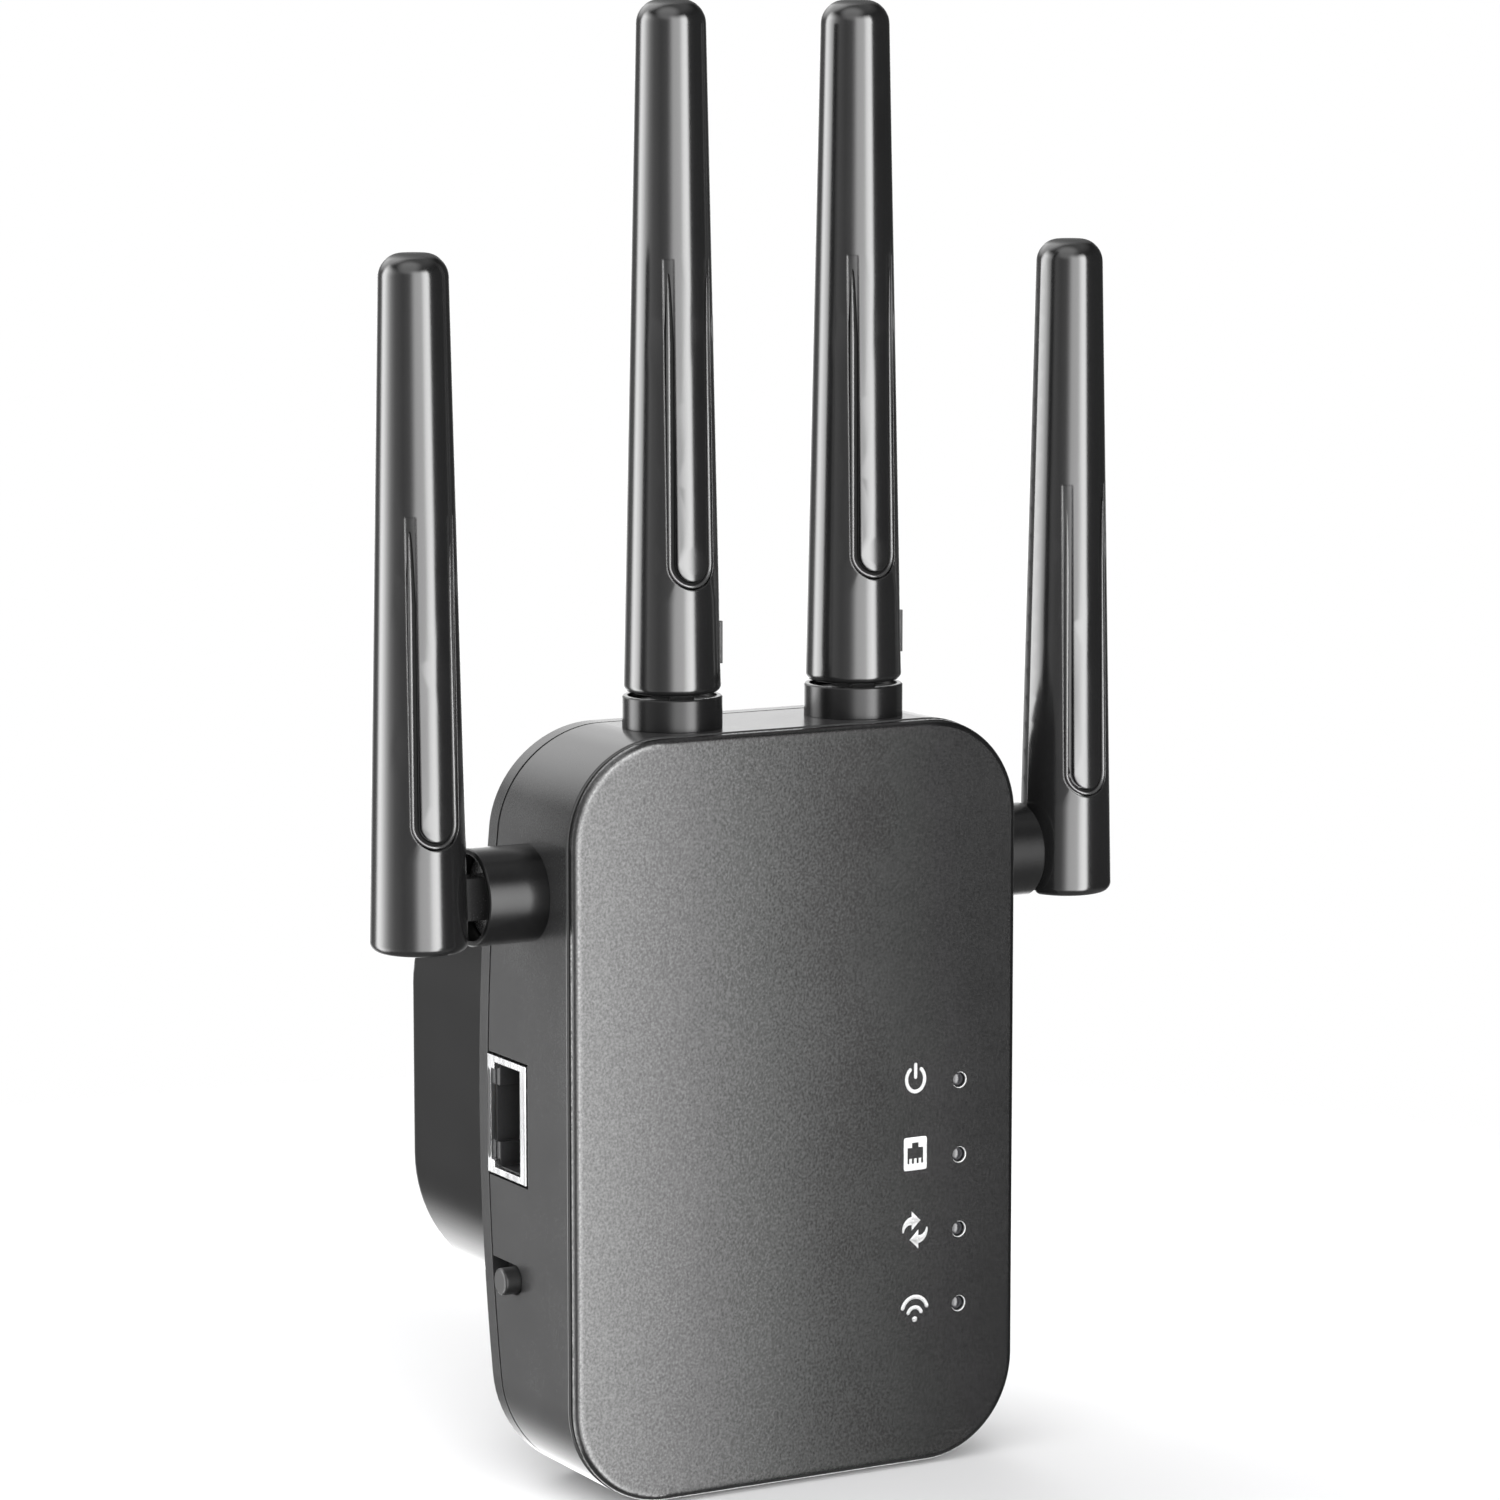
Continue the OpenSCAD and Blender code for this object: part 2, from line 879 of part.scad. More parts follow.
// Side-push switch that the button works
module reset_switch() {
    plunger_r = 0.9;
    height = button_y - board_back + switch_d / 2 - 0.6;
    color([0.2, 0.2, 0.22])
        on_plug() {
            translate([switch_face, board_back, button_z - switch_d / 2])
                cube([switch_len, height, switch_d]);
            translate([switch_face - switch_gap(), button_y, button_z])
                rotate([0, 90, 0])
                    cylinder(r = plunger_r, h = switch_gap() + switch_len / 2);
        }
}

// Free length of the switch's plunger, which reaches the button at the end of its travel
function switch_gap() =
    switch_face + half_w - wall - button_flange_t - button_travel - 2 * seat_fit;

// Power supply

// Power board inside the plug block, on the rear cover's posts
module power_board() {
    color([0.35, 0.26, 0.1])
        on_plug()
            difference() {
                translate([-power_w / 2, power_y, mid_z - power_h / 2])
                    cube([power_w, board_t, power_h]);
                at_power_posts()
                    rod(small_screw_r + seat_fit, power_y - 1, power_back + 1);
                at_pins()
                    rod(pin_tail_r + seat_fit, power_y - 1, power_back + 1);
            }
}

// Screws that hold the power board
module power_screws() {
    color([0.6, 0.6, 0.62])
        on_plug()
            at_power_posts()
                translate([0, power_y, 0])
                    mirror([0, 1, 0])
                        pan_screw(small_screw_r - seat_fit, small_screw_len, small_head_r, small_head_t);
}

// Switching transformer: a wound bobbin between two core halves
module transformer() {
    core = [12, 11, 3];
    core_up = 6;
    bobbin_r = 4.6;
    bobbin_h = 6;
    color([0.75, 0.6, 0.2])
        on_plug()
            translate([-core[0] / 2, power_back, mid_z + core_up]) {
                cube(core);
                translate([core[0] / 2, core[1] / 2, core[2]])
                    cylinder(r = bobbin_r, h = bobbin_h);
                translate([0, 0, core[2] + bobbin_h])
                    cube(core);
            }
}

// Two smoothing capacitors standing on the power board
module capacitors() {
    can_r = 3.5;
    can_len = 11;
    can_in = 3;
    can_up = 11;
    groove = 0.4;
    groove_from_end = 2;
    color([0.15, 0.2, 0.35])
        on_plug()
            for (z = [-1, 1])
                translate([power_w / 2 - can_in - can_r, power_back, mid_z + z * can_up])
                    difference() {
                        rod(can_r, 0, can_len);
                        translate([0, can_len - groove_from_end, 0])
                            rotate([90, 0, 0])
                                rotate_extrude()
                                    translate([can_r, 0])
                                        circle(groove, $fn = 32);
                    }
}

// Bridge rectifier and fuse
module rectifier() {
    bridge = [7, 2.6, 6.5];
    bridge_drop = 15;
    fuse_r = 2;
    fuse_len = 8;
    fuse_in = 9;
    fuse_drop = 8;
    color([0.1, 0.1, 0.1])
        on_plug() {
            translate([-bridge[0] / 2, power_back, mid_z - bridge_drop])
                cube(bridge);
            translate([-power_w / 2 + fuse_in, power_back, mid_z - fuse_drop])
                rotate([-90, 0, 0])
                    cylinder(r = fuse_r, h = fuse_len);
        }
}

// Pin header between the two boards
module board_link() {
    strip_w = 12;
    strip_h = 2.5;
    strip_x = stand_x - strip_w;
    strip_drop = 10.6;
    color([0.1, 0.1, 0.1])
        on_plug()
            translate([strip_x, board_back, board_high - strip_drop])
                cube([strip_w, power_y - board_back, strip_h]);
}

// Antennas

// Outer radius of a collar, and the radius of its mouth
function collar_r(a) = a[10] / 2;

function mouth_r(a) = collar_r(a) - mouth_t;

// Distance of an antenna's fold pivot from the wall of the body
function pivot_out(a) = a[3] + pivot_up + a[8];

// Length of a sheath below its fold pivot
function below(a) = pivot_up - a[7];

// Height of a sheath's tip above its fold pivot
function above(a) = antenna_len - below(a);

// Radius of a sheath at a height above its base
function sheath_r(h) = base_r + (tip_r - base_r) * h / antenna_len;

// Depth of the open mouth in the end of a collar
function mouth_depth(a) = mouth_share * a[3];

// Tube on the body that carries the antenna, with a spigot through the wall and a nut inside
module collar(a) {
    color([0.17, 0.17, 0.18])
        on_plug()
            at_foot(a)
                difference() {
                    union() {
                        cylinder(r = collar_r(a), h = a[3] - collar_chamfer);
                        translate([0, 0, a[3] - collar_chamfer])
                            cylinder(r1 = collar_r(a), r2 = collar_r(a) - collar_chamfer, h = collar_chamfer);
                        translate([0, 0, -wall - spigot_in])
                            cylinder(r = spigot_r - seat_fit / 2, h = wall + spigot_in + collar_chamfer);
                        translate([0, 0, -wall - spigot_in])
                            cylinder(r = nut_r, h = nut_t);
                    }
                    translate([0, 0, a[3] - mouth_depth(a)])
                        cylinder(r = mouth_r(a), h = mouth_depth(a) + 1);
                    translate([0, 0, -wall - spigot_in - 1])
                        cylinder(r = shaft_r + run_fit, h = wall + spigot_in + a[3] + 2);
                }
}

// Swivel shaft with its disc, snap end and the tongue and eye that the antenna folds on
module knuckle(a) {
    disc_low = a[3] - mouth_depth(a) + run_fit;
    pivot = pivot_out(a);
    shaft_low = -wall - spigot_in - run_fit;
    color([0.14, 0.14, 0.15])
        on_plug()
            at_foot(a)
                difference() {
                    union() {
                        translate([0, 0, disc_low])
                            cylinder(r = mouth_r(a) - fold_fit, h = disc_t);
                        translate([0, 0, shaft_low])
                            cylinder(r = shaft_r, h = disc_low - shaft_low + disc_t / 2);
                        translate([0, 0, shaft_low - snap_t])
                            cylinder(r = snap_r, h = snap_t);
                        translate([-tongue_w / 2, -tongue_t / 2, disc_low + disc_t / 2])
                            cube([tongue_w, tongue_t, pivot - disc_low - disc_t / 2]);
                        translate([-a[7], 0, pivot])
                            rotate([90, 0, 0])
                                cylinder(r = eye_r, h = tongue_t, center = true);
                    }
                    translate([-a[7], 0, pivot])
                        rotate([90, 0, 0])
                            cylinder(r = hinge_r + run_fit, h = tongue_t + 2, center = true);
                }
}

// Hinge pin with a flat oblong head let into the sheath's side
module hinge_pin(a) {
    color([0.2, 0.2, 0.21])
        on_plug()
            at_pivot(a)
                to_side(a[6]) {
                    rod(hinge_r, -head_in, (head_in + head_out) / 2);
                    translate([-head_w / 2, head_in, -head_h / 2])
                        cube([head_w, head_out - head_in, head_h]);
                }
}

// Keeps the children on their side of the hinge, or mirrors them to the other side
module to_side(side) {
    if (side > 0)
        children();
    else
        mirror([0, 1, 0])
            children();
}

// Tapered moulded sheath with its finger panel's groove, fold slot and inner bore
module sheath(a) {
    color([0.16, 0.16, 0.17])
        on_plug()
            at_pivot(a)
                difference() {
                    translate([0, 0, -below(a)])
                        difference() {
                            rotate_extrude()
                                sheath_profile(a[9]);
                            rotate([0, 0, a[5]])
                                panel_groove_cut();
                        }
                    fold_slot(a[7]);
                    if (a[7] == 0)
                        swing_relief();
                    to_side(a[6])
                        hinge_pin_room();
                    cylinder(r = bore_r, h = above(a) - bore_cap);
                }
}

// Half section of a sheath from its base up: a tapered rod with a rounded base and tip
module sheath_profile(base_round) {
    shoulder = antenna_len - tip_round;
    shoulder_r = sheath_r(shoulder) - tip_round;
    foot_r = sheath_r(base_round) - base_round;
    polygon([
        [0, 0],
        [foot_r, 0],
        [foot_r + base_round, base_round],
        [shoulder_r + tip_round, shoulder],
        [shoulder_r, antenna_len],
        [0, antenna_len]
    ]);
    intersection() {
        translate([shoulder_r, shoulder])
            circle(tip_round);
        translate([shoulder_r, shoulder])
            square(tip_round);
    }
    intersection() {
        translate([foot_r, base_round])
            circle(base_round);
        translate([foot_r, 0])
            square(base_round);
    }
}

// U-shaped groove round the finger panel, facing x, that runs out towards the tip
module panel_groove_cut() {
    run_out = 0.06;
    difference() {
        rotate([90, 0, 90])
            linear_extrude(2 * base_r)
                difference() {
                    groove_outline(groove_half, groove_low, groove_high);
                    groove_outline(groove_half - groove_w, groove_low + groove_w, groove_high + 1);
                }
        translate([0, 0, groove_low])
            cylinder(
                r1 = sheath_r(groove_low) - groove_d,
                r2 = sheath_r(groove_high) - run_out,
                h = groove_high - groove_low
            );
        translate([0, 0, groove_low - 1])
            cylinder(r = sheath_r(groove_low) - groove_d, h = 1);
    }
}

// Tongue-shaped outline with a round lower end
module groove_outline(half, low, high) {
    translate([0, low + half])
        circle(half);
    translate([-half, low + half])
        square([2 * half, high - low - half]);
}

// Slot that the knuckle's tongue swings in, open at the base and on the folding side
module fold_slot(drop) {
    reach = 2 * base_r;
    roof = tongue_w / 2 + drop + fold_fit + 0.1;
    rotate([90, 0, 0])
        cylinder(r = slot_r, h = 2 * slot_half, center = true);
    translate([-slot_r, -slot_half, -reach])
        cube([slot_r + reach, 2 * slot_half, reach]);
    translate([-fold_fit, -slot_half, -1])
        cube([reach, 2 * slot_half, roof + 1]);
}

// Rounding of the base on the folding side, so that it swings past the collar
module swing_relief() {
    reach = 2 * base_r;
    difference() {
        translate([0, -reach, -reach])
            cube([reach, 2 * reach, reach]);
        rotate([90, 0, 0])
            cylinder(r = swing_r, h = 3 * reach, center = true);
    }
}

// Hole for the hinge pin and pocket for its head
module hinge_pin_room() {
    rotate([90, 0, 0])
        cylinder(r = hinge_r + 0.02, h = 2 * head_in + seat_fit, center = true);
    translate([-head_w / 2 - seat_fit / 2, head_in, -head_h / 2 - seat_fit / 2])
        cube([head_w + seat_fit, base_r, head_h + seat_fit]);
}

// Brass dipole inside a sheath: a sleeve, a rod up to the bore's end and the lead's end below
module radiator(a) {
    lead_r = 0.9;
    rod_r = 0.8;
    low = slot_r + a[7] + 0.6;
    sleeve_low = low + 5;
    sleeve_high = radiator_share * above(a);
    high = above(a) - bore_cap;
    color([0.8, 0.65, 0.3])
        on_plug()
            at_pivot(a) {
                translate([0, 0, low])
                    cylinder(r = lead_r, h = sleeve_low - low + 1);
                translate([0, 0, sleeve_low])
                    cylinder(r = bore_r - seat_fit, h = sleeve_high - sleeve_low);
                translate([0, 0, sleeve_high - 1])
                    cylinder(r = rod_r, h = high - sleeve_high + 1);
            }
}

// Drawing

front_panel();
body_shell();
rear_cover();
case_screws();
plug_pins();
pin_sleeves();
main_board();
board_screws();
rf_shield();
processor();
network_transformer();
indicator_leds();
light_pipes();
jack_shield();
jack_insert();
jack_contacts();
reset_button();
reset_switch();
power_board();
power_screws();
transformer();
capacitors();
rectifier();
board_link();
for (a = ANTENNAS) {
    collar(a);
    knuckle(a);
    hinge_pin(a);
    sheath(a);
    radiator(a);
}
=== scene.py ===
"""Looks of a plug-in wifi range extender with four folding antennas.

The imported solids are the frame. This script gives every solid its finish, adds the printed marks,
the rims and lenses of the status lights, the beads in the antennas' grooves and the dark bar on
the network socket, and sets up a plain studio. Lengths are in metres, in the frame's own axes: +X
to the viewer's right, +Y back to the wall and +Z up.
"""

import logging
import math
from dataclasses import dataclass, field, replace
from enum import Enum
from typing import Any, Mapping

import bmesh
import bpy
import numpy as np
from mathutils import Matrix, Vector


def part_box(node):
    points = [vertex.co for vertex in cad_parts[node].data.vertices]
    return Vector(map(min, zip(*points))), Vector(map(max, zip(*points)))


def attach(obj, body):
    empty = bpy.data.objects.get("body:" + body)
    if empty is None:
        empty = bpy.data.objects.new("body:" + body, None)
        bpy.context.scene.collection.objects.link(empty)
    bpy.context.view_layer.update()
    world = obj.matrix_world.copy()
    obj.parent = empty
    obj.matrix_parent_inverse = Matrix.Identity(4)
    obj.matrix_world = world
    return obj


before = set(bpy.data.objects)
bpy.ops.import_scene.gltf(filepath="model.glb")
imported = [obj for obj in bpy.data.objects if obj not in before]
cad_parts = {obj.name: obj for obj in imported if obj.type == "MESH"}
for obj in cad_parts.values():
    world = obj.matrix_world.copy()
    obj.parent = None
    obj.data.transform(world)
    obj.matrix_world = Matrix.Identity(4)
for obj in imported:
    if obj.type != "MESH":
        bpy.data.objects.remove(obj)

LOG = logging.getLogger("extender")
MM = 0.001
MERGE = 1e-7  # Vertices nearer than this become one, which closes seams and poles.
TINY = 1e-9  # Keeps divisors above zero.
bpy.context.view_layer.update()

Colour = tuple[float, float, float]
Pair = tuple[float, float]
Socket = bpy.types.NodeSocket
Array = np.ndarray


# Meshes


@dataclass(frozen=True)
class Grid:
    """A surface sampled on a grid of two parameters.

    Attributes:
        points: Array of rows by columns by three, in metres.
        close_rows: Whether the last row joins the first.
        close_columns: Whether the last column joins the first.
    """

    points: Array
    close_rows: bool = False
    close_columns: bool = True

    def corners(self) -> Array:
        """Works out the quads between neighbouring samples.

        Returns:
            Array of faces by four vertex numbers.
        """
        rows, columns = self.points.shape[:2]
        numbers = np.arange(rows * columns).reshape(rows, columns)
        if self.close_rows:
            numbers = np.vstack([numbers, numbers[:1]])
        if self.close_columns:
            numbers = np.hstack([numbers, numbers[:, :1]])
        quads = [numbers[:-1, :-1], numbers[1:, :-1], numbers[1:, 1:], numbers[:-1, 1:]]
        return np.stack(quads, axis=-1).reshape(-1, 4)


def mesh_piece(name: str, *grids: Grid) -> bpy.types.Object:
    """Joins grids into one piece at the origin, with its place in its vertices.

    Args:
        name: Name of the piece.
        grids: The surfaces that make it up.

    Returns:
        The new object, linked to the scene and shaded smooth.
    """
    starts = np.cumsum([0] + [grid.points.shape[0] * grid.points.shape[1] for grid in grids])
    points = np.concatenate([grid.points.reshape(-1, 3) for grid in grids])
    faces = np.concatenate([grid.corners() + start for grid, start in zip(grids, starts)])
    mesh = bpy.data.meshes.new(name)
    mesh.from_pydata(points.tolist(), [], faces.tolist())
    shape = bmesh.new()
    shape.from_mesh(mesh)
    bmesh.ops.remove_doubles(shape, verts=shape.verts, dist=MERGE)
    bmesh.ops.dissolve_degenerate(shape, edges=shape.edges, dist=MERGE)
    bmesh.ops.recalc_face_normals(shape, faces=shape.faces)
    shape.to_mesh(mesh)
    shape.free()
    mesh.polygons.foreach_set("use_smooth", np.ones(len(mesh.polygons), dtype=bool))
    piece = bpy.data.objects.new(name, mesh)
    bpy.context.scene.collection.objects.link(piece)
    return piece


def eased(count: int) -> Array:
    """Gives steps from 0 to 1 that are closer together at both ends."""
    return 0.5 - 0.5 * np.cos(np.linspace(0.0, math.pi, count))


def round_angles(count: int) -> Array:
    """Gives even angles round a full turn, in radians."""
    return np.linspace(0.0, 2 * math.pi, count + 1)[:-1]


def sideways(path: Array) -> Array:
    """Gives the unit normal at each point of a flat path, to the left of its run.

    Args:
        path: Points by two.

    Returns:
        One normal for each point.
    """
    along = np.gradient(path, axis=0)
    along /= np.maximum(np.linalg.norm(along, axis=1, keepdims=True), TINY)
    return np.stack([-along[:, 1], along[:, 0]], axis=1)


# Shader nodes


class Graph:
    """Adds nodes to a tree and links their sockets."""

    def __init__(self, tree: bpy.types.NodeTree) -> None:
        """Keeps the tree and clears it."""
        self.tree = tree
        tree.nodes.clear()

    def add(
            self, kind: str, inputs: Mapping[Any, Any] | None = None,
            **settings: Any) -> bpy.types.Node:
        """Adds one node.

        Args:
            kind: Type of the node.
            inputs: Values or sockets for its inputs, by name or number.
            settings: Attributes of the node.

        Returns:
            The new node.
        """
        node = self.tree.nodes.new(kind)
        for key, value in settings.items():
            setattr(node, key, value)
        for key, value in (inputs or {}).items():
            if isinstance(value, Socket):
                self.tree.links.new(value, node.inputs[key])
            else:
                node.inputs[key].default_value = value
        return node

    def math(self, operation: str, *values: Any, clamp: bool = False) -> Socket:
        """Adds a Math node and returns its output."""
        inputs = dict(enumerate(values))
        return self.add("ShaderNodeMath", inputs, operation=operation, use_clamp=clamp).outputs[0]

    def vector_math(self, operation: str, output: str, *values: Any) -> Socket:
        """Adds a Vector Math node and returns one of its outputs."""
        inputs = dict(enumerate(values))
        return self.add("ShaderNodeVectorMath", inputs, operation=operation).outputs[output]

    def remap(
            self, value: Socket, low: float, high: float,
            to_low: float = 0.0, to_high: float = 1.0) -> Socket:
        """Maps a value's range on another one, held at its ends, and returns the output."""
        inputs = {0: value, 1: low, 2: high, 3: to_low, 4: to_high}
        return self.add("ShaderNodeMapRange", inputs, clamp=True).outputs["Result"]

    def blend(self, factor: Any, first: Any, second: Any) -> Socket:
        """Blends two colours and returns the output."""
        inputs = {0: factor, 6: first, 7: second}
        return self.add("ShaderNodeMix", inputs, data_type="RGBA").outputs[2]

    def between(self, factor: Any, first: Any, second: Any) -> Socket:
        """Blends two numbers and returns the output."""
        inputs = {0: factor, 2: first, 3: second}
        return self.add("ShaderNodeMix", inputs, data_type="FLOAT").outputs[0]

    def coordinate(self, kind: str, axis: str) -> Socket:
        """Gives one axis of a texture coordinate."""
        place = self.add("ShaderNodeTexCoord").outputs[kind]
        return self.add("ShaderNodeSeparateXYZ", {0: place}).outputs[axis]

    def bump(self, height: Socket, depth: float, normal: Socket, strength: float = 1.0) -> Socket:
        """Raises a normal by a height and returns the output."""
        inputs = {"Strength": strength, "Distance": depth, "Height": height, "Normal": normal}
        return self.add("ShaderNodeBump", inputs).outputs[0]

    def effect(self, effect: "Effect", inputs: Mapping[str, Any]) -> Mapping[str, Socket]:
        """Places a shared effect with a material's own values and returns its outputs."""
        return self.add("ShaderNodeGroup", inputs, node_tree=effect.group()).outputs


class Effect(Enum):
    """Shared surface effects; each one is a node group that is built once."""

    SOFT_EDGE = "soft_edge"
    MOULD_GRAIN = "mould_grain"
    BROAD_TONE = "broad_tone"
    EDGE_RUB = "edge_rub"
    DRAWN_LINES = "drawn_lines"

    def group(self) -> bpy.types.ShaderNodeTree:
        """Finds the effect's group, or builds it the first time.

        Returns:
            The node group.
        """
        made = bpy.data.node_groups.get(self.value)
        if made is not None:
            return made
        tree = bpy.data.node_groups.new(self.value, "ShaderNodeTree")
        getattr(EffectBuilder(tree), self.value)()
        return tree


NOISE_SPAN = (0.3, 0.7)  # Values of the noise that become 0 and 1.
PEBBLE_SPAN = (0.1, 0.7)  # Distances from a pebble's top to its foot, in cells.
PATCH_SPAN = (0.4, 0.65)  # Values of the noise between which a patch is rubbed.
PATCH_LEAST = 0.15  # Rub outside the patches.
EDGE_COSINES = (0.99, 0.8)  # Turns of the normal at which an edge starts and is full.
EDGE_SAMPLES = 6


class EffectBuilder(Graph):
    """Builds the node groups of the shared effects."""

    def __init__(self, tree: bpy.types.ShaderNodeTree) -> None:
        """Starts an empty group with its ends in place."""
        super().__init__(tree)
        self.start = tree.nodes.new("NodeGroupInput")
        self.end = tree.nodes.new("NodeGroupOutput")

    def values_in(self, defaults: Mapping[str, float]) -> list[Socket]:
        """Adds named numbers to the group's inputs.

        Args:
            defaults: Value of each number where a material gives none.

        Returns:
            Their sockets inside the group.
        """
        for name, default in defaults.items():
            socket = self.tree.interface.new_socket(
                name, in_out="INPUT", socket_type="NodeSocketFloat")
            socket.default_value = default
        return [self.start.outputs[name] for name in defaults]

    def put_out(self, name: str, value: Socket, kind: str = "NodeSocketFloat") -> None:
        """Adds a named output and links it."""
        self.tree.interface.new_socket(name, in_out="OUTPUT", socket_type=kind)
        self.tree.links.new(value, self.end.inputs[name])

    def place(self) -> Socket:
        """Gives the point on the piece in its own coordinates."""
        return self.add("ShaderNodeTexCoord").outputs["Object"]

    def noise(self, place: Socket, scale: Socket, **settings: float) -> Socket:
        """Adds noise at a place and returns its value."""
        inputs = {"Vector": place, "Scale": scale, **settings}
        return self.add("ShaderNodeTexNoise", inputs).outputs["Fac"]

    def soft_edge(self) -> None:
        """Rounds the normal near edges, and marks the edges by how far the normal turned."""
        radius, = self.values_in({"Radius": 0.3 * MM})
        bevel = self.add("ShaderNodeBevel", {"Radius": radius}, samples=EDGE_SAMPLES)
        flat = self.add("ShaderNodeNewGeometry").outputs["Normal"]
        turned = self.vector_math("DOT_PRODUCT", "Value", bevel.outputs[0], flat)
        self.put_out("Normal", bevel.outputs[0], "NodeSocketVector")
        self.put_out("Edge", self.remap(turned, *EDGE_COSINES))

    def mould_grain(self) -> None:
        """Shapes the grain of a spark-eroded mould: round cells broken up by small noise."""
        scale, break_up = self.values_in({"Scale": 3000.0, "Break Up": 0.5})
        place = self.place()
        grain = self.remap(self.noise(place, scale, Detail=3.0), *NOISE_SPAN)
        cells = self.add(
            "ShaderNodeTexVoronoi", {"Vector": place, "Scale": scale, "Smoothness": 0.6},
            feature="SMOOTH_F1")
        pebble = self.remap(cells.outputs["Distance"], *PEBBLE_SPAN, 1.0, 0.0)
        self.put_out("Height", self.between(break_up, pebble, grain))
        self.put_out("Speckle", grain)

    def broad_tone(self) -> None:
        """Gives a slow change over a surface, from the flow of the plastic and from handling."""
        scale, = self.values_in({"Scale": 60.0})
        noise = self.noise(self.place(), scale, Detail=4.0, Roughness=0.6)
        self.put_out("Tone", self.remap(noise, *NOISE_SPAN))

    def edge_rub(self) -> None:
        """Marks edges that are rubbed lighter in patches: the edge mask, broken up by noise."""
        edge, amount, scale = self.values_in({"Edge": 0.0, "Amount": 0.5, "Scale": 400.0})
        noise = self.noise(self.place(), scale, Detail=5.0)
        patch = self.remap(noise, *PATCH_SPAN, PATCH_LEAST)
        rubbed = self.math("MULTIPLY", edge, patch)
        self.put_out("Mask", self.math("MULTIPLY", rubbed, amount, clamp=True))

    def drawn_lines(self) -> None:
        """Gives the fine lines of rolled or drawn metal: noise stretched along one axis."""
        scale, stretch = self.values_in({"Scale": 900.0, "Stretch": 0.04})
        squeeze = self.add("ShaderNodeCombineXYZ", {0: 1.0, 1: 1.0, 2: stretch})
        place = self.vector_math("MULTIPLY", "Vector", self.place(), squeeze.outputs[0])
        noise = self.noise(place, scale, Detail=4.0)
        self.put_out("Line", self.remap(noise, *NOISE_SPAN))


# Finishes


BREAK_UP = 0.6  # Share of small noise in the grain of plastic.
FLOW, WEAR = 70.0, 500.0  # Changes of tone and rubbed patches on plastic, per metre.
SPECKLE = 0.5  # Share of the grain in the flecks and in the roughness of plastic.
FLECK_LIGHT, RUB_LIGHT = 1.6, 3.0  # How many times lighter flecks and rubbed edges are.
PAINTED_SHADE_LIGHT, PAINTED_SHADE_ROUGH = 0.2, -0.08  # Share of the colour kept where shade is painted, and change of roughness there.
PAINTED_SHADE_FADE, CRISP_FADE = 0.4 * MM, 2 * MM  # Lengths over which the painted shade and the crisp parts come in.
END_FACING = (0.75, 0.93)  # Upward parts of the normal between which a face becomes an end.
DULL, DULL_LIGHT = 220.0, 0.75  # Dulled patches per metre of metal, and how dark.
STRETCH, LINE_SHARE = 0.05, 0.6  # Slowness of drawn lines lengthwise, and share in roughness.
LINE_DEPTH, LINE_STRENGTH = 3e-6, 0.4  # Relief of the drawn lines.
STAINS, STAIN_SHARE, STAIN_LIGHT = 300.0, 0.35, 0.6  # Stains per metre of board, and how dark.
TRACK_JITTER, TRACK_SPAN = 0.35, (0.34, 0.36)  # Disorder of the track cells and their edge.
TRACK_DEPTH = 3e-5  # Height of the tracks.
STREAKS, STREAK_LIGHT = 500.0, 0.9  # Flow lines per metre of clear plastic, and how light.
REFRACTION = 1.49  # Index of refraction of clear plastic.


def rgba(colour: Colour, times: float = 1.0) -> tuple[float, float, float, float]:
    """Gives a colour, made lighter or darker, with full alpha."""
    return (colour[0] * times, colour[1] * times, colour[2] * times, 1.0)


@dataclass(frozen=True)
class Surface:
    """A finish, which builds its own material.

    Attributes:
        colour: Base colour.
        roughness: Least and greatest roughness.
        edge: Radius that softens the edges.
    """

    colour: Colour
    roughness: Pair
    edge: float = 1e-4

    def material(self, name: str) -> bpy.types.Material:
        """Builds the material.

        Args:
            name: Name of the material.

        Returns:
            The new material.
        """
        material = bpy.data.materials.new(name)
        material.use_nodes = True
        graph = Graph(material.node_tree)
        graph.add("ShaderNodeOutputMaterial", {"Surface": self.shader(graph)})
        return material

    def shader(self, graph: Graph) -> Socket:
        """Adds the shader with the nodes that feed it, and returns its output."""
        return graph.add("ShaderNodeBsdfPrincipled", self.inputs(graph)).outputs[0]

    def inputs(self, graph: Graph) -> dict[str, Any]:
        """Adds the finish's own nodes, and returns the shader's inputs."""
        raise NotImplementedError


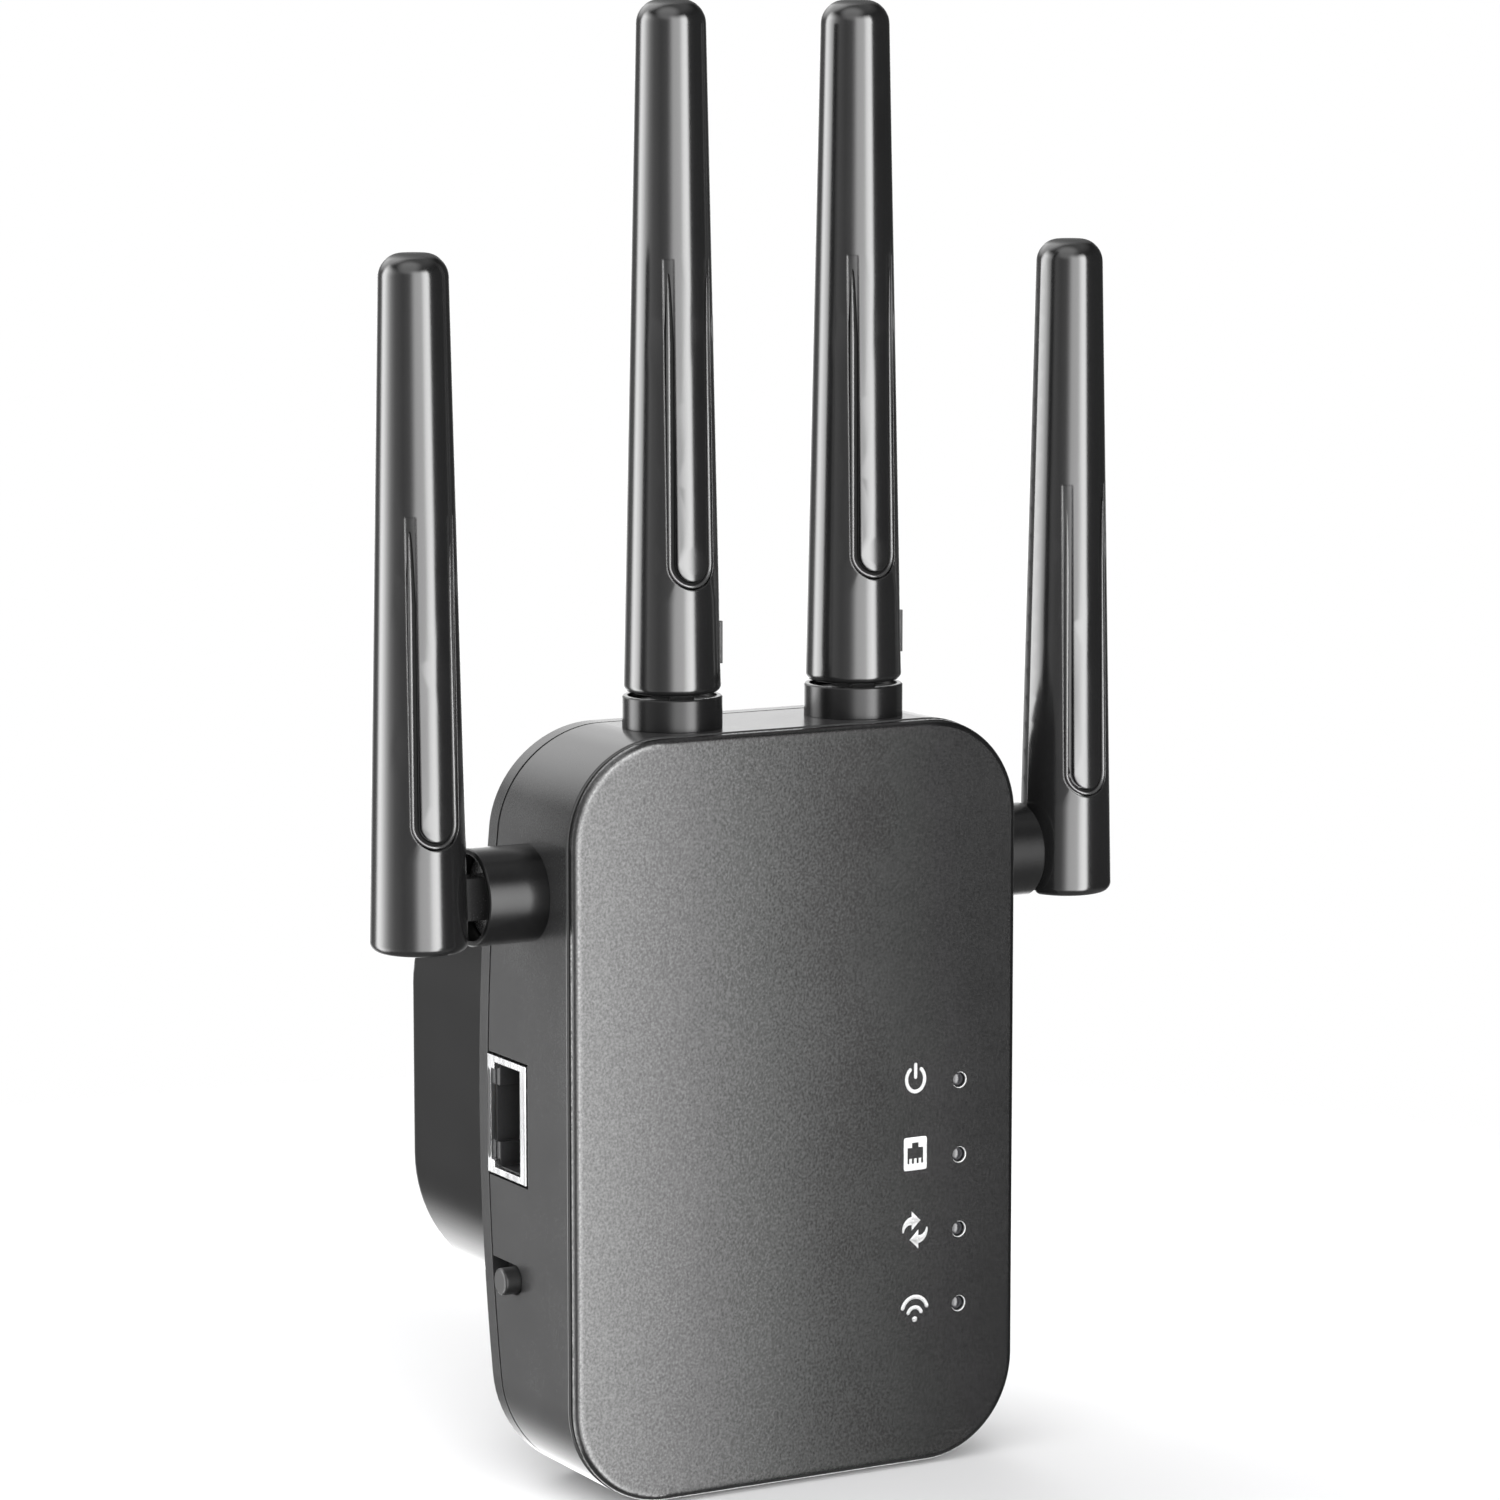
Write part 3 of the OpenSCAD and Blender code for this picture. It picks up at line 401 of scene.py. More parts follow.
@dataclass(frozen=True)
class Moulded(Surface):
    """Moulded plastic with a fine grain, a slow change of tone and rubbed edges.

    Attributes:
        grain: Grains per metre.
        depth: Depth of the grain.
        tone: Share by which the colour changes.
        rub: How far the edges are rubbed lighter.
        specular: Strength of the gloss.
        painted_shade_behind: Depth behind which shade is painted into the colour, and the roughness
            is lower.
        crisp_from: Place to the right of which the edges stay crisp.
        sparkle: Strength of a second gloss on the high grains.
        end_roughness: Roughness of the faces that look up the piece.
    """

    edge: float = 2.5e-4
    grain: float = 6000.0
    depth: float = 3e-7
    tone: float = 0.15
    rub: float = 0.3
    specular: float = 0.5
    painted_shade_behind: float | None = None
    crisp_from: float | None = None
    sparkle: float = 0.0
    end_roughness: float | None = None

    def inputs(self, graph: Graph) -> dict[str, Any]:
        """Adds the plastic's nodes.

        Args:
            graph: The material's nodes.

        Returns:
            The shader's inputs.
        """
        edge = graph.effect(Effect.SOFT_EDGE, {"Radius": self.edge})
        grain = graph.effect(Effect.MOULD_GRAIN, {"Scale": self.grain, "Break Up": BREAK_UP})
        tone = graph.effect(Effect.BROAD_TONE, {"Scale": FLOW})["Tone"]
        speckle = graph.math("MULTIPLY", grain["Speckle"], SPECKLE)
        spread = graph.math("MULTIPLY_ADD", tone, 1 - SPECKLE, speckle)
        roughness = graph.remap(spread, 0.0, 1.0, *self.roughness)
        wear = {"Edge": edge["Edge"], "Amount": self.rub, "Scale": WEAR}
        rub = graph.effect(Effect.EDGE_RUB, wear)["Mask"]
        dark, light = rgba(self.colour, 1 - self.tone), rgba(self.colour, 1 + self.tone)
        colour = graph.blend(tone, dark, light)
        colour = graph.blend(speckle, colour, rgba(self.colour, FLECK_LIGHT))
        colour = graph.blend(rub, colour, rgba(self.colour, RUB_LIGHT))
        # Painted shade: behind this depth the colour is darkened, standing in for the shade on the
        # plug block.
        if self.painted_shade_behind is not None:
            depth = graph.coordinate("Object", "Y")
            behind = graph.remap(depth, self.painted_shade_behind - PAINTED_SHADE_FADE, self.painted_shade_behind)
            colour = graph.blend(behind, colour, rgba(self.colour, PAINTED_SHADE_LIGHT))
            roughness = graph.math("MULTIPLY_ADD", behind, PAINTED_SHADE_ROUGH, roughness)
        if self.end_roughness is not None:
            end = graph.remap(graph.coordinate("Normal", "Z"), *END_FACING)
            roughness = graph.between(end, roughness, self.end_roughness)
        normal = self.edged(graph, edge["Normal"])
        found = {
            "Base Color": colour, "Roughness": roughness, "Specular IOR Level": self.specular,
            "Normal": graph.bump(grain["Height"], self.depth, normal)}
        if self.sparkle:
            found["Coat Roughness"] = self.roughness[0]
            found["Coat Weight"] = graph.math("MULTIPLY", grain["Speckle"], self.sparkle)
        return found

    def edged(self, graph: Graph, soft: Socket) -> Socket:
        """Chooses the normal: soft at the edges, but flat to the right of crisp_from.

        Args:
            graph: The material's nodes.
            soft: Normal with soft edges.

        Returns:
            The normal.
        """
        if self.crisp_from is None:
            return soft
        across = graph.coordinate("Object", "X")
        crisp = graph.remap(across, self.crisp_from, self.crisp_from + CRISP_FADE)
        flat = graph.add("ShaderNodeNewGeometry").outputs["Normal"]
        inputs = {0: crisp, 4: soft, 5: flat}
        return graph.add("ShaderNodeMix", inputs, data_type="VECTOR").outputs[1]


@dataclass(frozen=True)
class Metal(Surface):
    """Plated or rolled metal with fine drawn lines and dulled patches.

    Attributes:
        lines: Drawn lines per metre.
    """

    edge: float = 1.2e-4
    lines: float = 2500.0

    def inputs(self, graph: Graph) -> dict[str, Any]:
        """Adds the metal's nodes.

        Args:
            graph: The material's nodes.

        Returns:
            The shader's inputs.
        """
        edge = graph.effect(Effect.SOFT_EDGE, {"Radius": self.edge})
        drawn = graph.effect(Effect.DRAWN_LINES, {"Scale": self.lines, "Stretch": STRETCH})
        tone = graph.effect(Effect.BROAD_TONE, {"Scale": DULL})["Tone"]
        spread = graph.math("MULTIPLY_ADD", drawn["Line"], LINE_SHARE, 1 - LINE_SHARE)
        spread = graph.math("MULTIPLY_ADD", tone, LINE_SHARE - 1, spread)
        return {
            "Base Color": graph.blend(tone, rgba(self.colour, DULL_LIGHT), rgba(self.colour)),
            "Roughness": graph.remap(spread, 0.0, 1.0, *self.roughness), "Metallic": 1.0,
            "Normal": graph.bump(drawn["Line"], LINE_DEPTH, edge["Normal"], LINE_STRENGTH)}


@dataclass(frozen=True)
class Laminate(Surface):
    """Circuit board: a mask over copper tracks, which show as raised lighter lines.

    Attributes:
        track: Colour over the copper, which is also the smoothest place.
        pitch: Track cells per metre.
    """

    track: Colour = (0.03, 0.18, 0.07)
    pitch: float = 450.0

    def inputs(self, graph: Graph) -> dict[str, Any]:
        """Adds the board's nodes.

        Args:
            graph: The material's nodes.

        Returns:
            The shader's inputs.
        """
        edge = graph.effect(Effect.SOFT_EDGE, {"Radius": self.edge})
        tone = graph.effect(Effect.BROAD_TONE, {"Scale": STAINS})["Tone"]
        place = graph.add("ShaderNodeTexCoord").outputs["Object"]
        cells = graph.add(
            "ShaderNodeTexVoronoi",
            {"Vector": place, "Scale": self.pitch, "Randomness": TRACK_JITTER},
            feature="F1", distance="CHEBYCHEV")
        track = graph.remap(cells.outputs["Distance"], *TRACK_SPAN, 1.0, 0.0)
        colour = graph.blend(track, rgba(self.colour), rgba(self.track))
        stain = graph.math("MULTIPLY", tone, STAIN_SHARE)
        over, bare = self.roughness
        return {
            "Base Color": graph.blend(stain, colour, rgba(self.colour, STAIN_LIGHT)),
            "Roughness": graph.remap(track, 0.0, 1.0, bare, over),
            "Normal": graph.bump(track, TRACK_DEPTH, edge["Normal"])}


@dataclass(frozen=True)
class Clear(Surface):
    """Clear moulded plastic with faint flow lines.

    Attributes:
        through: Share of the light that passes.
    """

    through: float = 1.0

    def inputs(self, graph: Graph) -> dict[str, Any]:
        """Adds the clear plastic's nodes.

        Args:
            graph: The material's nodes.

        Returns:
            The shader's inputs.
        """
        edge = graph.effect(Effect.SOFT_EDGE, {"Radius": self.edge})
        tone = graph.effect(Effect.BROAD_TONE, {"Scale": STREAKS})["Tone"]
        return {
            "Base Color": graph.blend(tone, rgba(self.colour, STREAK_LIGHT), rgba(self.colour)),
            "Roughness": graph.remap(tone, 0.0, 1.0, *self.roughness), "Normal": edge["Normal"],
            "Transmission Weight": self.through, "IOR": REFRACTION}


CASE = Moulded(
    (0.029, 0.029, 0.0293), (0.2, 0.25), grain=5000.0, depth=8e-7, edge=1e-4, rub=0.1, specular=0.4)


class Finish(Enum):
    """The finishes, named after the record's slots, and those of the added pieces."""

    PANEL = Moulded(
        (0.004, 0.004, 0.0041), (0.11, 0.14), grain=3400.0, depth=1.5e-6, edge=8e-4, rub=0.1,
        specular=0.55, crisp_from=16 * MM, sparkle=0.9)
    SHELL = CASE
    # Painted shade darkens the plug block behind this depth.
    COVER = replace(CASE, painted_shade_behind=-19.8 * MM)
    ANTENNA = Moulded((0.006, 0.006, 0.0061), (0.14, 0.19), specular=0.8, end_roughness=0.9)
    COLLAR = Moulded(
        (0.005, 0.005, 0.0051), (0.2, 0.26), depth=4e-7, edge=1.2e-4, rub=0.2, specular=0.35)
    HINGE = Moulded(
        (0.02, 0.02, 0.0202), (0.22, 0.3), grain=5000.0, depth=8e-7, rub=0.1, specular=0.45)
    SCREW = Metal((0.55, 0.55, 0.57), (0.22, 0.42))
    PIN = Metal((0.75, 0.74, 0.72), (0.12, 0.3))
    SLEEVE = Moulded((0.03, 0.03, 0.03), (0.35, 0.5), grain=4000.0, depth=6e-6)
    BOARD = Laminate((0.012, 0.1, 0.045), (0.3, 0.5))
    POWER_BOARD = Laminate((0.28, 0.2, 0.07), (0.3, 0.5), track=(0.42, 0.27, 0.1), pitch=220.0)
    TIN = Metal((0.86, 0.86, 0.87), (0.18, 0.34), lines=1800.0)
    PACKAGE = Moulded((0.02, 0.02, 0.021), (0.4, 0.6), grain=4500.0, depth=5e-6)
    LAMP = Clear((0.95, 0.93, 0.8), (0.15, 0.3), through=0.6)
    CLEAR = Clear((0.85, 0.9, 0.95), (0.05, 0.15))
    GOLD = Metal((0.83, 0.62, 0.26), (0.2, 0.36))
    BUTTON = Moulded((0.012, 0.012, 0.0121), (0.3, 0.4), grain=5000.0, depth=2e-6, rub=0.1)
    WINDING = Moulded((0.55, 0.36, 0.06), (0.3, 0.5), grain=900.0, depth=2e-5)
    CAN = Moulded((0.03, 0.04, 0.1), (0.15, 0.25), grain=2500.0, depth=2e-6)
    PRINT = Moulded((0.85, 0.85, 0.85), (0.45, 0.6), depth=2e-6, tone=0.03, rub=0.0)
    BEAD = Moulded((0.02, 0.02, 0.0201), (0.16, 0.22), rub=0.0, specular=1.0)
    # Painted shade: a near-black dull sheet on each groove's floor stands in for the shade in the
    # groove.
    BED = Moulded((0.002, 0.002, 0.002), (0.5, 0.6), rub=0.0, specular=0.1)
    RIM = Moulded((0.75, 0.75, 0.75), (0.2, 0.3), depth=1e-6, tone=0.04, rub=0.0)
    LENS = Moulded((0.02, 0.02, 0.022), (0.06, 0.12), depth=5e-7, rub=0.0)

    @property
    def slot(self) -> str:
        """Name of the material slot."""
        return self.name.lower()

    def material(self) -> bpy.types.Material:
        """Finds the finish's material, or builds it the first time."""
        name = "finish_" + self.slot
        return bpy.data.materials.get(name) or self.value.material(name)


def dress(node: str, finish: Finish) -> None:
    """Gives a solid of the frame its finish.

    Args:
        node: Name of the solid.
        finish: Its finish.
    """
    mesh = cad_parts[node].data
    mesh.materials.clear()
    mesh.materials.append(finish.material())
    LOG.info("dressed %s as %s", node, finish.slot)


def settle(piece: bpy.types.Object, body: str, finish: Finish) -> None:
    """Gives a new piece its finish and sets it on a body of the frame.

    Args:
        piece: The new piece.
        body: Name of the body that it moves with.
        finish: Its finish.
    """
    piece.data.materials.append(finish.material())
    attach(piece, body)
    LOG.info("added %s to %s as %s", piece.name, body, finish.slot)


# Printed marks and status lights


STROKE_ACROSS = np.array([-1.0, -0.85, 0.0, 0.85, 1.0, 0.0])  # Section of a stroke, in half widths.
STROKE_HEIGHT = np.array([-1.0, 0.85, 1.0, 0.85, -1.0, -1.0])  # Its height, in thicknesses.
BAND_ACROSS = np.array([0.0, 0.03, 0.97, 1.0])  # Section of a band, in shares of its width.
BAND_HEIGHT = np.array([-1.0, 1.0, 1.0, -1.0])  # Its height, in thicknesses.
ARC_STEPS, LINE_STEPS, HEAD_STEPS = 64, 24, 8
LIP, SHOULDER = 0.1 * MM, 0.12 * MM  # Depths of a rim's lip and shoulders in the panel.
LIP_FROM, LIP_TO = 0.3, 0.7  # Where the lip lies, in shares of the rim's thickness.
LENS_GAP, LENS_PLATE = 0.01 * MM, 0.02 * MM  # Room round a lens, and its thickness at the edge.
LENS_STEPS, LIGHT_SIDES = 12, 48


@dataclass(frozen=True)
class Film:
    """Ink printed on the front panel, as a thin closed film with a slightly crowned face.

    Outlines and paths are points by two in millimetres from the mark's middle, widths are in
    millimetres, and heights are shares of the film's thickness; below 0 is inside the panel.

    Attributes:
        x: Sideways place of the mark's middle.
        z: Height of the mark's middle.
        face: Depth of the panel's face.
        thickness: Thickness of the film.
    """

    x: float
    z: float
    face: float
    thickness: float = 0.006 * MM

    def raised(self, flat: Array, height: Array) -> Array:
        """Sets flat points on the panel: x and z from the mark's middle, y from the height."""
        depth = self.face - np.broadcast_to(height, flat.shape[:2]) * self.thickness
        return np.stack([self.x + flat[..., 0] * MM, depth, self.z + flat[..., 1] * MM], axis=-1)

    def stroke(self, path: Array, half: Array) -> Grid:
        """Carries a crowned section along a path: the path plus its normal times the half width."""
        flat = path[:, None] + sideways(path)[:, None] * (half[:, None] * STROKE_ACROSS)[..., None]
        return Grid(self.raised(flat, STROKE_HEIGHT))

    def line(self, path: Array, half: float) -> Grid:
        """Draws a line with round ends: near an end the half width follows a circle.

        Args:
            path: Points of the middle line from tip to tip, in millimetres.
            half: Half the width of the line.

        Returns:
            The closed line.
        """
        steps = np.linalg.norm(np.diff(path, axis=0), axis=1)
        run = np.concatenate([[0.0], np.cumsum(steps)])
        to_end = np.minimum(run, run[-1] - run)
        return self.stroke(path, half * np.sqrt(1 - np.clip(1 - to_end / half, 0, 1) ** 2))

    def ring(self, inner: Array, outer: Array) -> Grid:
        """Fills the band between two closed outlines with straight rules from one to the other."""
        flat = inner[:, None, :] + (outer - inner)[:, None, :] * BAND_ACROSS[:, None]
        return Grid(self.raised(flat, BAND_HEIGHT), close_rows=True)


def arc(centre: Pair, radii: Pair, start_deg: float, end_deg: float) -> Array:
    """Gives points on an ellipse: its centre plus its radii times the angle's cosine and sine."""
    angle = np.radians(start_deg + (end_deg - start_deg) * eased(ARC_STEPS))
    return np.array(centre) + np.array(radii) * np.stack([np.cos(angle), np.sin(angle)], axis=1)


def straight(start: Pair, end: Pair) -> Array:
    """Gives points on a straight line between two points, in millimetres."""
    return np.array(start) + np.outer(eased(LINE_STEPS), np.array(end) - np.array(start))


def box_reach(angle: Array, half: float, low: float, high: float) -> Array:
    """Gives the distance from the middle to a box along each angle, to the first side met.

    Args:
        angle: Angles from the x axis, in radians.
        half: Half the box's width.
        low: Distance from the middle to the lower side.
        high: Distance from the middle to the upper side.

    Returns:
        One distance for each angle.
    """
    across = half / np.maximum(np.abs(np.cos(angle)), TINY)
    upright = np.where(np.sin(angle) > 0, high, low) / np.maximum(np.abs(np.sin(angle)), TINY)
    return np.minimum(across, upright)


def level(start: float, end: float, height: float, count: int) -> Array:
    """Gives even points on a level line, in millimetres."""
    return np.stack([np.linspace(start, end, count), np.full(count, height)], axis=1)


def polar(angle: Array, reach: Array) -> Array:
    """Gives the points at each angle and distance from the middle."""
    return np.stack([reach * np.cos(angle), reach * np.sin(angle)], axis=1)


class Sign(Enum):
    """The four plain pictograms beside the status lights, from the top down.

    Their coordinates are in millimetres from the mark's middle.
    """

    POWER = "power"
    PORT = "port"
    PAIRING = "pairing"
    SIGNAL = "signal"

    def grids(self, film: Film) -> list[Grid]:
        """Draws the pictogram on its film."""
        return getattr(self, "_" + self.value)(film)

    def _power(self, film: Film) -> list[Grid]:
        """Draws an open ring with an upright bar in its gap."""
        paths = arc((0.0, -0.1), (1.19, 1.42), 118.0, 422.0), straight((0.0, -0.05), (0.0, 1.8))
        return [film.line(path, half=0.23) for path in paths]

    def _port(self, film: Film) -> list[Grid]:
        """Draws a rounded plate with the opening of a socket cut out, and three teeth in it.

        Args:
            film: The mark's film.

        Returns:
            The plate and its teeth.
        """
        half, high, square = 1.53, 1.93, 14
        angle = round_angles(360)
        opening = np.maximum(box_reach(angle, 1.02, 1.15, 0.69), box_reach(angle, 0.42, 1.15, 1.26))
        reach = box_reach(angle, half, high, high)
        corner = np.abs(polar(angle, reach) / (half, high)) ** square
        plate = polar(angle, reach * corner.sum(axis=1) ** (-1 / square))
        width = np.full(LINE_STEPS, 0.19)
        width[[0, -1]] = 0.0
        teeth = [film.stroke(straight((x, -1.2), (x, -0.55)), width) for x in (-0.62, 0.0, 0.62)]
        return [film.ring(polar(angle, opening), plate), *teeth]

    def _pairing(self, film: Film) -> list[Grid]:
        """Draws two bent arrows that chase each other, each one the other turned by half a turn.

        Args:
            film: The mark's film.

        Returns:
            The two arrows.
        """
        share = np.linspace(0.0, 1.0, 32)
        angle = np.radians(90.0 * share)
        bend = np.stack([-0.44 - 1.14 * np.cos(angle), -0.23 + 1.32 * np.sin(angle)], axis=1)
        head = level(-0.439, 0.70, 1.09, HEAD_STEPS)
        half = np.concatenate([[0.0], 0.08 + 0.44 * share[1:], np.linspace(1.2, 0.0, HEAD_STEPS)])
        path = np.concatenate([bend, head])
        return [film.stroke(path, half), film.stroke(-path, half)]

    def _signal(self, film: Film) -> list[Grid]:
        """Draws two arcs over a dot, which is a line as long as it is wide."""
        lines = (
            (arc((0.0, -0.36), (1.66, 1.64), 8.0, 172.0), 0.25),
            (arc((0.0, -0.82), (0.9, 0.88), 5.0, 175.0), 0.24),
            (level(-0.34, 0.34, -1.32, LINE_STEPS), 0.34))
        return [film.line(path, half) for path, half in lines]


@dataclass
class StatusRow:
    """The status lights' lenses and the marks printed beside them.

    Attributes:
        light_x: Sideways place of the lights.
        light_z: Heights of the lights, from the top down.
        mark_x: Sideways place of the marks.
        mark_z: Heights of the marks.
        bore: Radius of the panel's holes.
        rim: Thickness of the pale rim that lines each hole.
        sunk: Depth of the lens's edge behind the panel's face.
        crown: Height of the lens's crown above its edge.
        face: Depth of the panel's face.
    """

    light_x: float = 21.05 * MM
    light_z: tuple[float, ...] = (1.2 * MM, -7.5 * MM, -16.2 * MM, -24.9 * MM)
    mark_x: float = 15.16 * MM
    mark_z: tuple[float, ...] = (1.96 * MM, -6.75 * MM, -15.64 * MM, -24.73 * MM)
    bore: float = 0.94 * MM
    rim: float = 0.05 * MM
    sunk: float = 0.58 * MM
    crown: float = 0.24 * MM
    face: float = field(default_factory=lambda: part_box("front_panel")[0].y)

    def build(self) -> None:
        """Builds the marks, rims and lenses, and sets them on the housing."""
        for sign, height in zip(Sign, self.mark_z):
            film = Film(self.mark_x, height, self.face)
            mark = mesh_piece("mark_" + sign.value, *sign.grids(film))
            settle(mark, "housing", Finish.PRINT)
        for sign, height in zip(Sign, self.light_z):
            sleeve = mesh_piece("sleeve_" + sign.value, self.turned(height, self.sleeve()))
            settle(sleeve, "housing", Finish.RIM)
            lens = mesh_piece("lens_" + sign.value, self.turned(height, self.lens()))
            settle(lens, "housing", Finish.LENS)

    def turned(self, height: float, profile: Array) -> Grid:
        """Turns a profile about a light's axis: radius times the angle's cosine and sine.

        Args:
            height: Height of the light.
            profile: Points of radius and depth behind the face.

        Returns:
            The turned surface.
        """
        angle = round_angles(LIGHT_SIDES)
        points = np.stack([
            self.light_x + np.outer(profile[:, 0], np.cos(angle)),
            self.face + np.outer(profile[:, 1], np.ones_like(angle)),
            height + np.outer(profile[:, 0], np.sin(angle))], axis=-1)
        return Grid(points)

    def sleeve(self) -> Array:
        """Gives the profile of the pale rim that lines a hole, with a lip that turns in."""
        outer, inner = self.bore, self.bore - self.rim
        return np.array([
            [outer, self.sunk], [outer, SHOULDER], [outer - LIP_FROM * self.rim, LIP],
            [outer - LIP_TO * self.rim, LIP], [inner, SHOULDER], [inner, self.sunk],
            [outer, self.sunk]])

    def lens(self) -> Array:
        """Shapes a lens: a crown that falls with the square of the radius, on a flat back.

        Returns:
            Its profile.
        """
        radius = np.linspace(0.0, self.bore - self.rim - LENS_GAP, LENS_STEPS)
        depth = self.sunk - self.crown * (1 - (radius / radius[-1]) ** 2)
        front = np.stack([radius, depth], axis=1)
        back = self.sunk + LENS_PLATE
        return np.concatenate([front, [[radius[-1], back], [0.0, back]]])


# Sub-assemblies of the frame


SECTION_SIDES = 24
BAR_STEPS, BAR_SQUARE = 33, 16  # Sections of the latch bar, and the power that squares it.
GROOVE_STEPS = 40  # Points along each part of a groove.
GROOVE_TAPER = 8 * MM  # Length over which the pieces in a groove taper off.
GROOVE_ROOT, PAINTED_SHADE_SHEET_RISE = 0.05 * MM, 0.02 * MM  # Depth below a groove's floor, and height of the dark sheet of painted shade on it.


class Corner(Enum):
    """The four antennas."""

    TOP_LEFT = "top_left"
    TOP_RIGHT = "top_right"
    LEFT = "left"
    RIGHT = "right"

    @property
    def axis_y(self) -> float:
        """Depth of the antenna's axis."""
        return (-35.0 if self in (Corner.TOP_LEFT, Corner.TOP_RIGHT) else -32.5) * MM


@dataclass
class Assembly:
    """Solids of the frame that belong together.

    Attributes:
        finishes: Finish of each solid.
    """

    finishes: dict[str, Finish]

    def dress(self) -> None:
        """Gives the solids their finishes."""
        for node, finish in self.finishes.items():
            dress(node, finish)


@dataclass
class Housing(Assembly):
    """The moulded case, its screws and the reset button."""

    finishes: dict[str, Finish] = field(default_factory=lambda: {
        "front_panel": Finish.PANEL, "body_shell": Finish.SHELL, "rear_cover": Finish.COVER,
        "case_screws": Finish.SCREW, "reset_button": Finish.BUTTON, "light_pipes": Finish.CLEAR})


@dataclass
class Plug(Assembly):
    """The wall plug's pins and sleeves."""

    finishes: dict[str, Finish] = field(default_factory=lambda: {
        "plug_pins": Finish.PIN, "pin_sleeves": Finish.SLEEVE})


@dataclass
class NetworkSocket(Assembly):
    """The network socket in the left side.

    Attributes:
        bar: Half the width and half the length of the dark bar behind the latch, and its height.
    """

    finishes: dict[str, Finish] = field(default_factory=lambda: {
        "jack_shield": Finish.TIN, "jack_insert": Finish.PACKAGE, "jack_contacts": Finish.GOLD})
    bar: tuple[float, float, float] = (0.37 * MM, 5.2 * MM, 0.03 * MM)

    def build(self) -> None:
        """Builds the dark bar across the latch side of the socket's face."""
        bar = mesh_piece("latch_bar", self.latch_bar())
        settle(bar, "housing", Finish.PACKAGE)

    def latch_bar(self) -> Grid:
        """Shapes the bar: an ellipse carried up the face, with ends that close as a root.

        Returns:
            The closed bar, of which one half lies in the shield.
        """
        low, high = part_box("jack_shield")
        half, reach, height = self.bar
        along = np.sin(np.linspace(-0.5, 0.5, BAR_STEPS) * math.pi)
        ends = np.sqrt(np.maximum(1 - along ** BAR_SQUARE, 0.0))
        angle = round_angles(SECTION_SIDES)
        points = np.stack([
            low.x - height * np.outer(ends, np.cos(angle)),
            high.y - half + half * np.outer(ends, np.sin(angle)),
            (low.z + high.z) / 2 + reach * np.outer(along, np.ones_like(angle))], axis=-1)
        return Grid(points)


@dataclass
class Electronics(Assembly):
    """The boards and the parts on them."""

    finishes: dict[str, Finish] = field(default_factory=lambda: {
        "main_board": Finish.BOARD, "board_screws": Finish.SCREW, "rf_shield": Finish.TIN,
        "processor": Finish.PACKAGE, "network_transformer": Finish.PACKAGE,
        "indicator_leds": Finish.LAMP, "reset_switch": Finish.PACKAGE,
        "power_board": Finish.POWER_BOARD, "power_screws": Finish.SCREW,
        "transformer": Finish.WINDING, "capacitors": Finish.CAN, "rectifier": Finish.PACKAGE,
        "board_link": Finish.PACKAGE})


